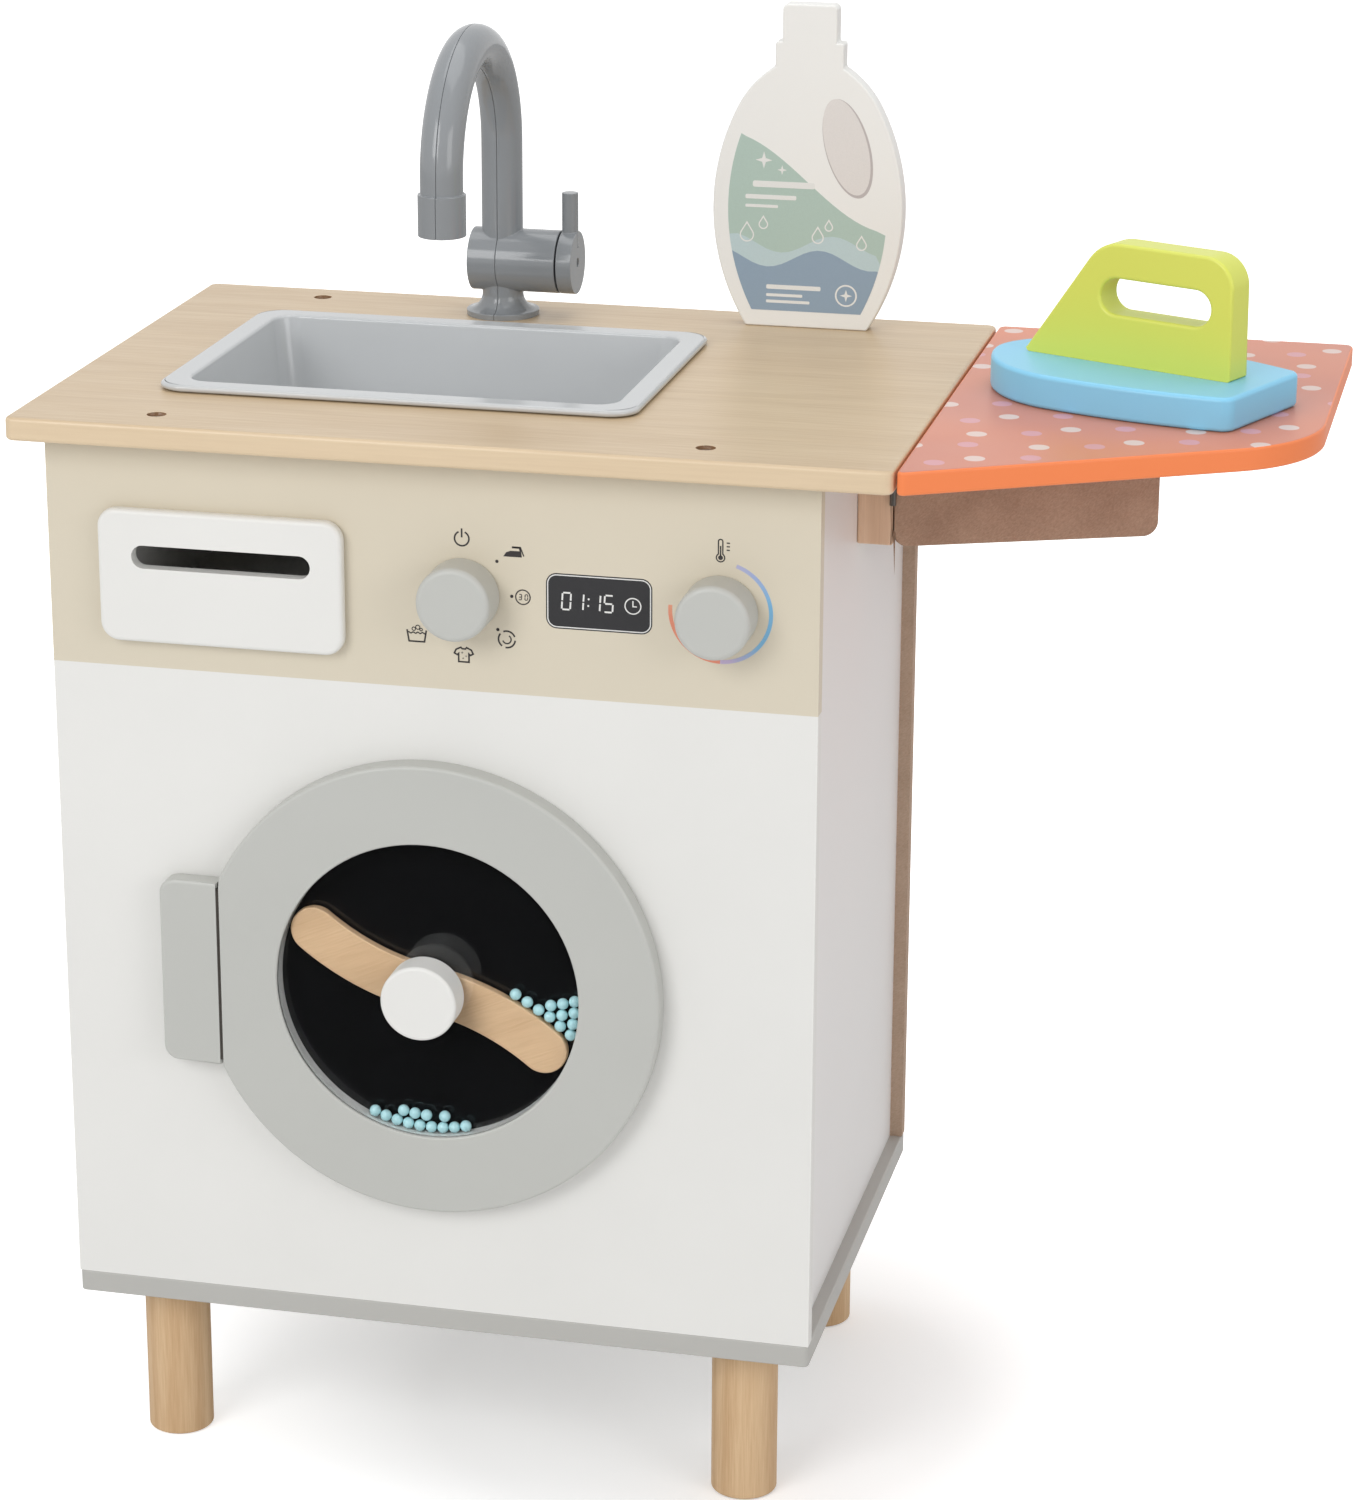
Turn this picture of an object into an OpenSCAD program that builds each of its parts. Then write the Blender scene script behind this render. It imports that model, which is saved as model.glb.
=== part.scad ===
// Wooden toy washing machine with a sink worktop, a fold-out ironing board,
// a toy iron and a flat wooden detergent bottle. All sizes in millimetres.
// The row origin is the centre of the bounding box's bottom, +Z up, -Y the front.

/* [Cabinet] */
// Width of the front, back and base panels
panel_w = 398; // [330:1:480]
// Depth from the front panel's face to the back panel's face
cabinet_d = 287; // [240:1:360]
// Height of the panels between the base and the worktop
panel_h = 462; // [430:1:560]
// Thickness of the front, side and back panels
panel_t = 9; // [6:0.5:15]
// How far the side panels stand in from the front panel's edges
side_inset = 7; // [2:0.5:14]
// Thickness of the base panel
base_t = 12; // [9:0.5:18]
// Height of the legs
leg_h = 92; // [60:1:140]
// Diameter of the legs
leg_d = 35; // [28:0.5:42]
// Leg axis in from the base's left and right edges
leg_inset_x = 41; // [30:1:60]
// Leg axis in from the base's front and back edges
leg_inset_y = 38; // [28:1:60]

/* [Worktop] */
// Thickness of the worktop
worktop_t = 12; // [9:0.5:18]
// Overhang over the front panel's left edge
worktop_left = 14; // [4:1:30]
// Overhang over the front panel's right edge, where the board is hinged
worktop_right = 38; // [32:1:70]
// Overhang in front of the front panel
worktop_front = 20; // [5:1:30]
// Overhang behind the back panel
worktop_back = 17; // [5:1:40]
// Rounding of the worktop's edges
soft_edge = 2; // [0.5:0.1:3]

/* [Door] */
// Outer radius of the door ring
door_r = 122; // [108:1:128]
// Radius of the window
window_r = 80; // [60:1:84]
// Thickness of the door ring and its hinge block
door_t = 12; // [11:0.5:16]
// Height of the door's centre above the floor
door_z = 286.5; // [240:0.5:300]
// Distance from the door's centre to the flat edge at the hinge
door_flat = 110.5; // [100:0.5:116]
// Width of the hinge block
hinge_block_w = 31.2; // [24:0.2:40]
// Height of the hinge block
hinge_block_h = 100; // [84:1:110]
// Diameter of the paddle's knob
paddle_knob_d = 40; // [24:0.5:50]
// Height of the paddle's knob
paddle_knob_h = 17; // [10:0.5:30]
// Width of the paddle
paddle_w = 25; // [16:0.5:30]
// Diameter of the beads
bead_d = 6; // [4:0.1:6.4]

/* [Control panel] */
// Diameter of the two round knobs
knob_d = 38; // [26:0.5:44]
// Height of the two round knobs
knob_h = 21; // [12:0.5:26]
// Height of the knobs' axes above the floor
knob_z = 496.5; // [480:0.5:510]
// Programme knob's axis to the right of the centre
programme_x = 18.5; // [0:0.5:40]
// Temperature knob's axis in from the front panel's right edge
temperature_in = 49.5; // [38:0.5:70]

/* [Drawer] */
// Width of the drawer's front
drawer_w = 128.5; // [100:0.5:136]
// Height of the drawer's front
drawer_h = 69.5; // [62:0.5:76]
// Thickness of the drawer's front
drawer_t = 7; // [6:0.5:12]
// Gap between the front panel's left edge and the drawer's front
drawer_in = 28.45; // [22:0.05:50]
// Length of the drawer's box
drawer_box_d = 150; // [90:1:220]
// Width of the slot in the drawer's front
slot_w = 94; // [60:1:104]
// Height of the slot in the drawer's front
slot_h = 12; // [10:0.5:16]

/* [Sink and tap] */
// Width of the sink's rim
sink_w = 252; // [200:1:260]
// Distance from the front panel's face to the sink's rim
sink_front = 49; // [30:1:70]
// Gap between the sink's rim and the tap's foot
sink_gap = 16.5; // [2:0.5:40]
// Height of the sink's inside below its rim
sink_h = 54; // [30:1:56]
// Centre of the sink and tap, left of the cabinet's centre
sink_x = 32; // [10:1:40]
// Gap between the tap's nut and the back panel
nut_gap = 1.5; // [0.5:0.5:20]
// Diameter of the tap's pipe
pipe_d = 22.5; // [16:0.5:26]
// Reach of the tap's pipe from its column to its nozzle
pipe_reach = 120; // [80:1:140]
// Height of the straight column above the worktop
column_h = 96.4; // [80:0.2:130]

/* [Ironing board] */
// Width of the ironing board, left to right
board_w = 191; // [150:1:230]
// Thickness of the ironing board
board_t = 12; // [9:0.5:18]
// Slope of the board's front edge
board_slope = 29; // [15:0.5:35]
// Radius of the board's free front corner
board_corner = 70; // [30:1:80]
// Gap between worktop and board
board_gap = 1.5; // [1.2:0.1:3]
// Length of the folding bracket under the board
bracket_l = 141; // [100:1:150]
// Height of the folding bracket
bracket_h = 69; // [40:1:90]
// Angle of the unfolded bracket behind the board's width direction
bracket_angle = 22.5; // [10:0.5:35]

/* [Iron] */
// Length of the iron's sole
sole_l = 155; // [130:1:170]
// Width of the iron's sole
sole_w = 99; // [90:1:106]
// Thickness of the iron's sole
sole_t = 17.5; // [12:0.5:24]
// Thickness of the iron's handle board
handle_t = 18; // [12:0.5:24]
// Height of the iron's handle board
handle_h = 62; // [58:1:75]

/* [Bottle] */
// Width of the detergent bottle
bottle_w = 104; // [90:1:112]
// Height of the detergent bottle
bottle_h = 175; // [165:1:200]
// Thickness of the detergent bottle
bottle_t = 12; // [9:0.5:18]
// Bottle's axis in from the worktop's right end
bottle_in = 100; // [60:1:130]
// Gap between the bottle's back and the worktop's back edge
bottle_back = 21.2; // [8:0.1:40]

/* [Hidden] */
$fn = 96;

// Clearances shared by every piece
eps = 0.1;
seat_gap = 0.05;
run_gap = 0.05;
slide_gap = 0.6;
// Arcs that meet at a slant stop this much inside each other, so that they cross cleanly
join = 0.01;

// Heights
base_z = leg_h;
panel_z = base_z + base_t;
worktop_z = panel_z + panel_h;
top_z = worktop_z + worktop_t;

// Worktop and outline
worktop_w = worktop_left + panel_w + worktop_right;
worktop_d = worktop_front + cabinet_d + worktop_back;
worktop_x = -panel_w / 2 - worktop_left;
worktop_end = worktop_x + worktop_w;
worktop_corner = 2.5 * soft_edge;
panel_soft = 1;
side_out = panel_w / 2 - side_inset;
back_y = cabinet_d - panel_t;

// Screws, their places counted in from the front panel's edges
screw_r = 1.6;
screw_head_r = 4.3;
screw_head_h = 2.6;
base_head_r = 3.2;
screw_l = 36;
screw_in = 58.5;
screw_x = panel_w / 2 - screw_in;
base_screw_in = 79;
base_screw_x = panel_w / 2 - base_screw_in;
recess_r = 2;
recess_w = 0.8;
recess_h = 1.3;
sunk_r = 5;
sunk = 2;
bolt_r = 2.5;
bolt_head_r = 6;
bolt_head_h = 3;
bolt_l = 44;

// Hinges with knuckles in a narrow gap
gap = 0.8;
leaf_t = 0.7;
leaf_off = 0.2;
mortise = leaf_off + leaf_t;
leaf_fit = 0.15;
leaf_seat = 0.02;
knuckle_r = 0.8;
pin_r = 0.35;
groove_r = knuckle_r + leaf_fit;
door_pin_in = 0.45;
door_leaf_w = 9.5;
door_leaf_h = hinge_block_h - 6;
door_axis_x = -door_flat - gap / 2;
door_back_y = -seat_gap * 2;
door_front_y = door_back_y - door_t;
door_axis_y = door_front_y + door_pin_in;

// Window chamber, measured back from the door's front
lip_t = 1.5;
pane_t = 2;
pane_seat_r = window_r + 1.5;
back_disc_t = 2.5;
back_disc_r = window_r + 6;
rebate = 1;
panel_hole_r = back_disc_r + 2;
pane_y = door_front_y + lip_t;
disc_y = door_back_y - rebate;
chamber_y = pane_y + pane_t;
chamber_mid = (chamber_y + disc_y) / 2;
paddle_t = 5;
shaft_r = 4;
paddle_end = [60.5, -27.3];
paddle_bend = 134;
knob_seat = 0.3;
paddle_front_y = pane_y - knob_seat - paddle_knob_h;
magnet_r = 4;
magnet_t = 3;
magnet_x = (panel_hole_r + door_r) / 2;

// Beads in rows along the chamber's wall
bead_gap = 0.2;
bead_wall_gap = 0.4;
bead_pitch = bead_d + bead_gap;
bead_wall_r = window_r - bead_d / 2 - bead_wall_gap;

// Knobs and spindles
temperature_x = panel_w / 2 - temperature_in;
knob_soft = 3;
spindle_r = 3;
spindle_in = 12;
washer_r = 8;
washer_t = 1.5;

// Drawer box, inset behind its front
drawer_drop = 0.3;
drawer_z = knob_z - drawer_drop;
drawer_x = panel_w / 2 - drawer_in - drawer_w / 2;
drawer_soft = 2.5;
drawer_corner = 10;
box_in = 7.25;
box_up = 4.5;
box_w = drawer_w - 2 * box_in;
box_low = drawer_z - drawer_h / 2 + box_up;
box_h = 52;
box_t = 5;
floor_t = 3;
floor_up = 1;
slot_right = 0.8;
slot_up = 10.4;
slot_x = -drawer_x + slot_right;
slot_z = drawer_z + slot_up;
rail_t = 8;
rail_h = 20;
rail_in = 8;

// Tap's foot and nut, and the sink in the space that is left in front of them
flange_r = 20;
flange_t = 3;
nut_r = 9;
nut_t = 6;
tap_y = back_y - nut_gap - nut_r;
sink_d = tap_y - flange_r - sink_gap - sink_front;
sink_y = sink_front + sink_d / 2;
rim_t = 4;
rim_soft = 1.8;
rim_w = 13;
rim_corner = 14;
basin_t = 2;
basin_draft = 6;
basin_corner = 12;
sink_cut = 1;
cut_w = sink_w - 2 * rim_w + 2 * (basin_t + sink_cut);
cut_d = sink_d - 2 * rim_w + 2 * (basin_t + sink_cut);

// Tap
pipe_r = pipe_d / 2;
bend_r = pipe_reach / 2;
stem_r = 5;
stem_l = 36;
collar_step = 1.4;
collar_r = pipe_r + collar_step;
collar_h = 22;
collar_drop = 7.2;
nozzle_r = 8.5;
nozzle_deep = 12;
valve_r = 17.2;
valve_h = 30.4;
valve_z = top_z + valve_h;
valve_left = 16;
valve_right = 33;
seam = 0.1;
tap_gap = 1;
tap_w = 8.5;
tap_spindle_l = 16;
lever_r = 4.5;
lever_h = 38.6;
tap_screw_r = 2.4;
tap_screw_t = 2.5;
tap_screw_deep = 5;
tap_far = pipe_reach + column_h + stem_l;

// Board and bracket
board_x = worktop_end + board_gap;
board_past = 1;
board_front = -worktop_front - board_past;
board_end = board_x + board_w;
board_top = worktop_z + board_t;
board_hinge_r = 1.7;
board_leaf_t = 1;
board_leaf_w = 12;
board_leaf_l = 40;
board_axis_x = worktop_end + board_gap / 2;
board_axis_z = worktop_z + seat_gap + board_hinge_r;
board_hinge_in = 72;
board_hinge_y = [board_hinge_in - worktop_front, worktop_d - worktop_front - board_hinge_in];
block_w = 18.5;
block_d = 32;
block_y = 135;
block_h = bracket_h - 0.5;
bracket_t = 12;
bracket_top_gap = 0.3;
bracket_corner = 8;
block_end = side_out + block_w;
bracket_pin_out = 1.8;
bracket_axis = [block_end + gap / 2, block_y - bracket_pin_out];
bracket_knuckle_r = 1.7;
bracket_leaf_w = 11;
bracket_leaf_h = 30;
bracket_leaf_up = 3.2;
bracket_leaf_z = worktop_z - bracket_h / 2 + bracket_leaf_up;

// Iron
iron_in = 18.1;
iron_y = 186.9;
iron_at = [board_x + iron_in, iron_y];
iron_turn = -23.2;
nose_r = 30;
shoulder_r = 60;
side_r = 330;
side_s = 63;
sole_corner = 8;
handle_s = 17.8;
handle_l = 120;
handle_slant = 43.4;
handle_side = 1.5;
handle_corners = [2, 1, 16, 22];
hand_low = 25.6;
hand_high = 43.9;
hand_from = 44.3;
hand_to = 107.5;

// Bottle
bottle_x = worktop_end - bottle_in;
bottle_y = worktop_d - worktop_front - bottle_back - bottle_t;
bottle_side_r = 121.5;
bottle_wide_z = 64.5;
cap_h = 20;
bottle_neck_top = bottle_h - cap_h;
bottle_neck = 18.6;
bottle_shoulder_r = 55;
bottle_shoulder_turn = 27.2;
bottle_neck_soft = 1.5;
bottle_cap = 14.8;
bottle_cap_soft = 3;

// Whole outline, used to put the row origin at the bottom centre of its box
x_low = worktop_x;
x_high = board_end;
y_low = paddle_front_y;
y_high = worktop_d - worktop_front;

maple = [0.86, 0.76, 0.6];
steel = [0.72, 0.72, 0.7];
grey = [0.75, 0.76, 0.74];
white = [0.94, 0.94, 0.93];
brown = [0.6, 0.49, 0.41];
black = [0.06, 0.06, 0.07];
pine = [0.89, 0.73, 0.53];
tap_grey = [0.54, 0.59, 0.62];

module placed() {
  translate([-(x_low + x_high) / 2, -(y_low + y_high) / 2, 0]) children();
}

// Corner i of a convex outline: its two tangent points and the arc's centre
function corner_dir(p, i, step) =
  let (n = len(p), q = p[(i + step + n) % n] - p[i]) q / norm(q);
function corner_half(p, i) = acos(corner_dir(p, i, -1) * corner_dir(p, i, 1)) / 2;
function corner_mid(p, i) =
  let (s = corner_dir(p, i, -1) + corner_dir(p, i, 1)) s / norm(s);

module rounded_outline(p, r) {
  polygon([for (i = [0:len(p) - 1])
    each (r[i] > 0
      ? [for (step = [-1, 1]) p[i] + corner_dir(p, i, step) * r[i] / tan(corner_half(p, i))]
      : [p[i]])]);
  for (i = [0:len(p) - 1])
    if (r[i] > 0)
      translate(p[i] + corner_mid(p, i) * r[i] / sin(corner_half(p, i)))
        circle(r[i] - (abs(corner_half(p, i) - 45) > join ? join : 0));
}

module rounded_rect(w, d, r) {
  rounded_outline([[0, 0], [w, 0], [w, d], [0, d]], [r, r, r, r]);
}

// Half section of a plate's soft edge, x pointing outward
module soft_profile(r, t, e) {
  square([r - e, t]);
  translate([0, e]) square([r, t - 2 * e]);
  for (y = [e, t - e])
    translate([r - e, y]) circle(e);
}

// Plate with round corners and soft upper and lower edges
module soft_plate(w, d, t, r, e) {
  translate([r, r, 0]) cube([w - 2 * r, d - 2 * r, t]);
  for (s = [[w - r, d - r, 0, d], [r, d - r, 90, w], [r, r, 180, d], [w - r, r, 270, w]])
    translate([s[0], s[1], 0]) rotate([0, 0, s[2]]) {
      rotate([90, 0, 0]) linear_extrude(s[3] - 2 * r) soft_profile(r, t, e);
      rotate_extrude(angle = 90) soft_profile(r, t, e);
    }
}

// Outline in width and height made into a board of thickness t behind y
module upright(y, t) {
  translate([0, y + t, 0]) rotate([90, 0, 0]) linear_extrude(t) children();
}

// Round bar along Y from y0 to y1
module rod_y(x, z, y0, y1, r) {
  translate([x, y0, z]) rotate([-90, 0, 0]) cylinder(h = y1 - y0, r = r);
}

// Turned piece along -Y with its base at y
module turned_y(x, y, z) {
  translate([x, y, z]) rotate([90, 0, 0]) rotate_extrude() children();
}

// Countersunk screw, its flat head's top at the origin, pointing down
module screw(grow, head_r = screw_head_r) {
  translate([0, 0, -screw_head_h])
    cylinder(h = screw_head_h, r1 = screw_r + grow, r2 = head_r + grow);
  translate([0, 0, -screw_l - grow]) cylinder(h = screw_l + grow, r = screw_r + grow);
}

module cross_recess() {
  for (a = [0, 90])
    rotate([0, 0, a]) translate([-recess_r, -recess_w / 2, -recess_h])
      cube([2 * recess_r, recess_w, recess_h + eps]);
}

// The worktop's screws sit at the bottom of round holes
module worktop_screw_places() {
  for (x = [-screw_x, screw_x], y = [panel_t / 2, cabinet_d - panel_t / 2])
    translate([x, y, top_z - sunk]) children();
}

module base_screw_places() {
  for (x = [-base_screw_x, base_screw_x], y = [panel_t / 2, cabinet_d - panel_t / 2])
    translate([x, y, base_z]) rotate([180, 0, 0]) children();
  for (x = [-1, 1])
    translate([x * (side_out - panel_t / 2), cabinet_d / 2, base_z])
      rotate([180, 0, 0]) children();
}

module leg_place(x, y) {
  translate([x * (panel_w / 2 - leg_inset_x),
    y < 0 ? leg_inset_y : cabinet_d - leg_inset_y, 0]) children();
}

// Hinge leaf: pin along Z at the origin, plate along +Y on the +X side.
// The outer leaf carries the two end knuckles and the pin.
module hinge_leaf(h, w, t, off, r, outer) {
  third = h / 3;
  difference() {
    union() {
      translate([off, r + 0.25, -h / 2]) cube([t, w - r - 0.25, h]);
      for (z = outer ? [-h / 2, h / 2 - third + eps] : [-third / 2 + eps])
        translate([0, 0, z]) {
          cylinder(h = third - (outer ? eps : 2 * eps), r = r);
          translate([off, 0, 0]) cube([t, r + 0.3, third - (outer ? eps : 2 * eps)]);
        }
    }
    if (!outer)
      translate([0, 0, -h]) cylinder(h = 2 * h, r = pin_r + run_gap);
  }
  if (outer)
    translate([0, 0, -h / 2]) cylinder(h = h, r = pin_r);
}

// Round groove for the knuckles of a hinge and room for its leaves, cut from both boards
module board_hinge_recess() {
  for (y = board_hinge_y)
    translate([board_axis_x, y, board_axis_z]) {
      rotate([90, 0, 0])
        cylinder(h = board_leaf_l + 2 * leaf_fit, r = board_hinge_r + leaf_fit, center = true);
      translate([-board_leaf_w - leaf_fit, -board_leaf_l / 2 - leaf_fit, -board_hinge_r - 1])
        cube([2 * (board_leaf_w + leaf_fit), board_leaf_l + 2 * leaf_fit,
          1 + board_leaf_t + seat_gap]);
    }
}

module door_hinge_at() {
  translate([door_axis_x, door_axis_y, door_z]) children();
}

module bracket_hinge_at() {
  translate([bracket_axis.x, bracket_axis.y, bracket_leaf_z]) children();
}

// Space cut from a wooden edge for a leaf in the narrow gap
module leaf_recess(h, w) {
  translate([gap / 2 - eps, 0, -h / 2 - eps])
    cube([mortise - gap / 2 + eps + leaf_seat, w + eps, h + 2 * eps]);
}

module worktop() {
  color(maple) placed() difference() {
    translate([worktop_x, -worktop_front, worktop_z])
      soft_plate(worktop_w, worktop_d, worktop_t, worktop_corner, soft_edge);
    translate([-sink_x - cut_w / 2, sink_y - cut_d / 2, worktop_z - 1])
      linear_extrude(worktop_t + 2) rounded_rect(cut_w, cut_d, rim_corner);
    translate([-sink_x, tap_y, worktop_z - 1]) cylinder(h = worktop_t + 2, r = stem_r + run_gap);
    worktop_screw_places() {
      screw(run_gap);
      cylinder(h = sunk + 1, r = sunk_r);
    }
    board_hinge_recess();
  }
}

module worktop_screws() {
  color(steel) placed() worktop_screw_places() difference() {
    screw(0);
    cross_recess();
  }
}

// Solid between two round-cornered outlines, inset a and b, at heights z0 and z1
module tapered_tub(inset0, z0, inset1, z1, r) {
  hull() {
    translate([-sink_x - sink_w / 2 + inset0, sink_y - sink_d / 2 + inset0, z0])
      linear_extrude(eps)
        rounded_rect(sink_w - 2 * inset0, sink_d - 2 * inset0, r, $fn = 32);
    translate([-sink_x - sink_w / 2 + inset1, sink_y - sink_d / 2 + inset1, z1 - eps])
      linear_extrude(eps)
        rounded_rect(sink_w - 2 * inset1, sink_d - 2 * inset1, r, $fn = 32);
  }
}

module sink_basin() {
  rim_top = top_z + seat_gap + rim_t;
  color(grey) placed() difference() {
    union() {
      translate([-sink_x - sink_w / 2, sink_y - sink_d / 2, top_z + seat_gap])
        soft_plate(sink_w, sink_d, rim_t, rim_corner, rim_soft);
      tapered_tub(rim_w + basin_draft - basin_t, rim_top - sink_h - basin_t,
        rim_w - basin_t, rim_top - 1, basin_corner);
    }
    tapered_tub(rim_w + basin_draft, rim_top - sink_h, rim_w, rim_top + eps, basin_corner);
  }
}

module front_panel() {
  color(white) placed() difference() {
    translate([-panel_w / 2, 0, panel_z]) cube([panel_w, panel_t, panel_h]);
    rod_y(0, door_z, -1, panel_t + 1, panel_hole_r);
    rod_y(magnet_x, door_z, -1, magnet_t + seat_gap, magnet_r + run_gap);
    for (x = [programme_x, temperature_x])
      rod_y(x, knob_z, -1, panel_t + 1, spindle_r + run_gap);
    translate([-drawer_x - box_w / 2 - slide_gap, -1, box_low - slide_gap])
      cube([box_w + 2 * slide_gap, panel_t + 2, box_h + 2 * slide_gap]);
    worktop_screw_places() screw(run_gap);
    base_screw_places() screw(run_gap);
  }
}

module side_panel(side) {
  color(white) placed() difference() {
    translate([side < 0 ? -side_out : side_out - panel_t, panel_t, panel_z])
      cube([panel_t, cabinet_d - 2 * panel_t, panel_h]);
    base_screw_places() screw(run_gap);
  }
}

module left_side_panel() {
  side_panel(-1);
}

module right_side_panel() {
  side_panel(1);
}

module back_panel() {
  color(brown) placed() difference() {
    translate([-panel_w / 2, back_y, panel_z]) cube([panel_w, panel_t, panel_h]);
    worktop_screw_places() screw(run_gap);
    base_screw_places() screw(run_gap);
  }
}

module base_panel() {
  color(grey) placed() difference() {
    translate([-panel_w / 2, 0, base_z])
      soft_plate(panel_w, cabinet_d, base_t, 3 * panel_soft, panel_soft);
    base_screw_places() screw(run_gap, base_head_r);
    for (x = [-1, 1], y = [-1, 1])
      leg_place(x, y) translate([0, 0, base_z - 1]) cylinder(h = base_t + 2, r = bolt_r + run_gap);
  }
}

module base_screws() {
  color(steel) placed() base_screw_places() difference() {
    screw(0, base_head_r);
    cross_recess();
  }
}

module leg(x, y) {
  color(pine) placed() leg_place(x, y) difference() {
    rotate_extrude()
      rounded_outline([[0, 0], [leg_d / 2, 0], [leg_d / 2, leg_h], [0, leg_h]], [0, 1.5, 0.6, 0]);
    translate([0, 0, base_z + base_t - bolt_l - eps])
      cylinder(h = bolt_l, r = bolt_r + run_gap);
  }
}

module front_left_leg() {
  leg(-1, -1);
}

module front_right_leg() {
  leg(1, -1);
}

module back_left_leg() {
  leg(-1, 1);
}

module back_right_leg() {
  leg(1, 1);
}

module leg_bolts() {
  color(steel) placed()
    for (x = [-1, 1], y = [-1, 1])
      leg_place(x, y) {
        translate([0, 0, panel_z - bolt_l]) cylinder(h = bolt_l + 1, r = bolt_r);
        translate([0, 0, panel_z]) cylinder(h = bolt_head_h, r = bolt_head_r);
      }
}

module door_hinge_block() {
  x1 = -door_flat - gap;
  x0 = x1 - hinge_block_w;
  color(grey) placed() difference() {
    upright(-door_t - 2 * seat_gap, door_t + 2 * seat_gap)
      rounded_outline([[x0, door_z - hinge_block_h / 2], [x1, door_z - hinge_block_h / 2],
        [x1, door_z + hinge_block_h / 2], [x0, door_z + hinge_block_h / 2]], [8, 0, 0, 8]);
    door_hinge_at() {
      mirror([1, 0, 0]) leaf_recess(door_leaf_h, door_leaf_w);
      cylinder(h = 2 * hinge_block_h, r = groove_r, center = true);
    }
  }
}

module door_hinge_fixed_leaf() {
  color(steel) placed() door_hinge_at() mirror([1, 0, 0])
    hinge_leaf(door_leaf_h, door_leaf_w, leaf_t, leaf_off, knuckle_r, true);
}

module door_magnet() {
  color(steel) placed() rod_y(magnet_x, door_z, 0, magnet_t, magnet_r);
}

module drawer_rails() {
  color(pine) placed()
    for (side = [-1, 1])
      translate([-drawer_x, panel_t, box_low - slide_gap]) mirror([side < 0 ? 1 : 0, 0, 0])
        translate([box_w / 2 + slide_gap, back_y - panel_t, 0]) rotate([90, 0, 0])
          linear_extrude(back_y - panel_t)
            polygon([[-rail_in, -rail_t], [rail_t, -rail_t], [rail_t, rail_h], [0, rail_h],
              [0, 0], [-rail_in, 0]]);
}

module bracket_block() {
  color(pine) placed() difference() {
    translate([side_out, block_y, worktop_z - block_h])
      linear_extrude(block_h) rounded_rect(block_w, block_d, 1.5);
    bracket_hinge_at() mirror([1, 0, 0]) leaf_recess(bracket_leaf_h, bracket_leaf_w);
  }
}

module bracket_hinge_fixed_leaf() {
  color(steel) placed() bracket_hinge_at() mirror([1, 0, 0])
    hinge_leaf(bracket_leaf_h, bracket_leaf_w, leaf_t, leaf_off, bracket_knuckle_r, true);
}

// Two flat hinges let into the joint between worktop and board from below
module board_hinges(outer) {
  for (y = board_hinge_y)
    translate([board_axis_x, y, board_axis_z]) rotate([0, 0, outer ? 180 : 0])
      rotate([0, 90, 0]) rotate([90, 0, 0])
        hinge_leaf(board_leaf_l, board_leaf_w, board_leaf_t, board_hinge_r - board_leaf_t,
          board_hinge_r, outer);
}

module board_hinge_worktop_leaves() {
  color(steel) placed() board_hinges(true);
}

module board_hinge_board_leaves() {
  color(steel) placed() board_hinges(false);
}

module door_ring() {
  color(grey) placed() difference() {
    turned_y(0, door_back_y, door_z)
      rounded_outline([[window_r, 0], [door_r, 0], [door_r, door_t], [window_r, door_t]],
        [0, 1, soft_edge, 1.2]);
    rod_y(0, door_z, pane_y, 1, pane_seat_r);
    rod_y(0, door_z, disc_y, 1, back_disc_r + eps);
    translate([-door_flat - door_r, -door_t * 2, door_z - door_r])
      cube([door_r, door_t * 3, 2 * door_r]);
    rod_y(magnet_x, door_z, door_back_y - 2 - seat_gap, 1, magnet_r + run_gap);
    door_hinge_at() {
      leaf_recess(door_leaf_h, door_leaf_w);
      cylinder(h = 2 * hinge_block_h, r = groove_r, center = true);
    }
  }
}

module window_pane() {
  color([0.85, 0.9, 0.92, 0.4]) placed() difference() {
    rod_y(0, door_z, pane_y, pane_y + pane_t, pane_seat_r - run_gap);
    rod_y(0, door_z, pane_y - 1, chamber_y + 1, shaft_r + run_gap);
  }
}

module window_spacer() {
  color(grey) placed() difference() {
    rod_y(0, door_z, chamber_y, disc_y, pane_seat_r - run_gap);
    rod_y(0, door_z, chamber_y - 1, disc_y + 1, window_r);
  }
}

module chamber_back() {
  color(black) placed() difference() {
    rod_y(0, door_z, disc_y, disc_y + back_disc_t, back_disc_r);
    rod_y(0, door_z, disc_y - 1, disc_y + back_disc_t + 1, shaft_r + run_gap);
  }
}

module door_hinge_moving_leaf() {
  color(steel) placed() door_hinge_at()
    hinge_leaf(door_leaf_h, door_leaf_w, leaf_t, leaf_off, knuckle_r, false);
}

module door_strike() {
  color(steel) placed()
    rod_y(magnet_x, door_z, door_back_y - 2, door_back_y, magnet_r);
}

// One arm of the S-shaped paddle, bending down from the centre
module paddle_arm() {
  reach = norm(paddle_end);
  turn = 2 * asin(reach / 2 / paddle_bend);
  heading = atan2(paddle_end.y, paddle_end.x) + turn / 2;
  rotate([0, 0, heading]) translate([0, -paddle_bend, 0]) {
    rotate([0, 0, 90 - turn]) rotate_extrude(angle = turn)
      translate([paddle_bend - paddle_w / 2, 0]) square([paddle_w, paddle_t]);
    rotate([0, 0, 90 - turn]) translate([paddle_bend, 0, 0])
      cylinder(h = paddle_t, r = paddle_w / 2);
  }
}

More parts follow.
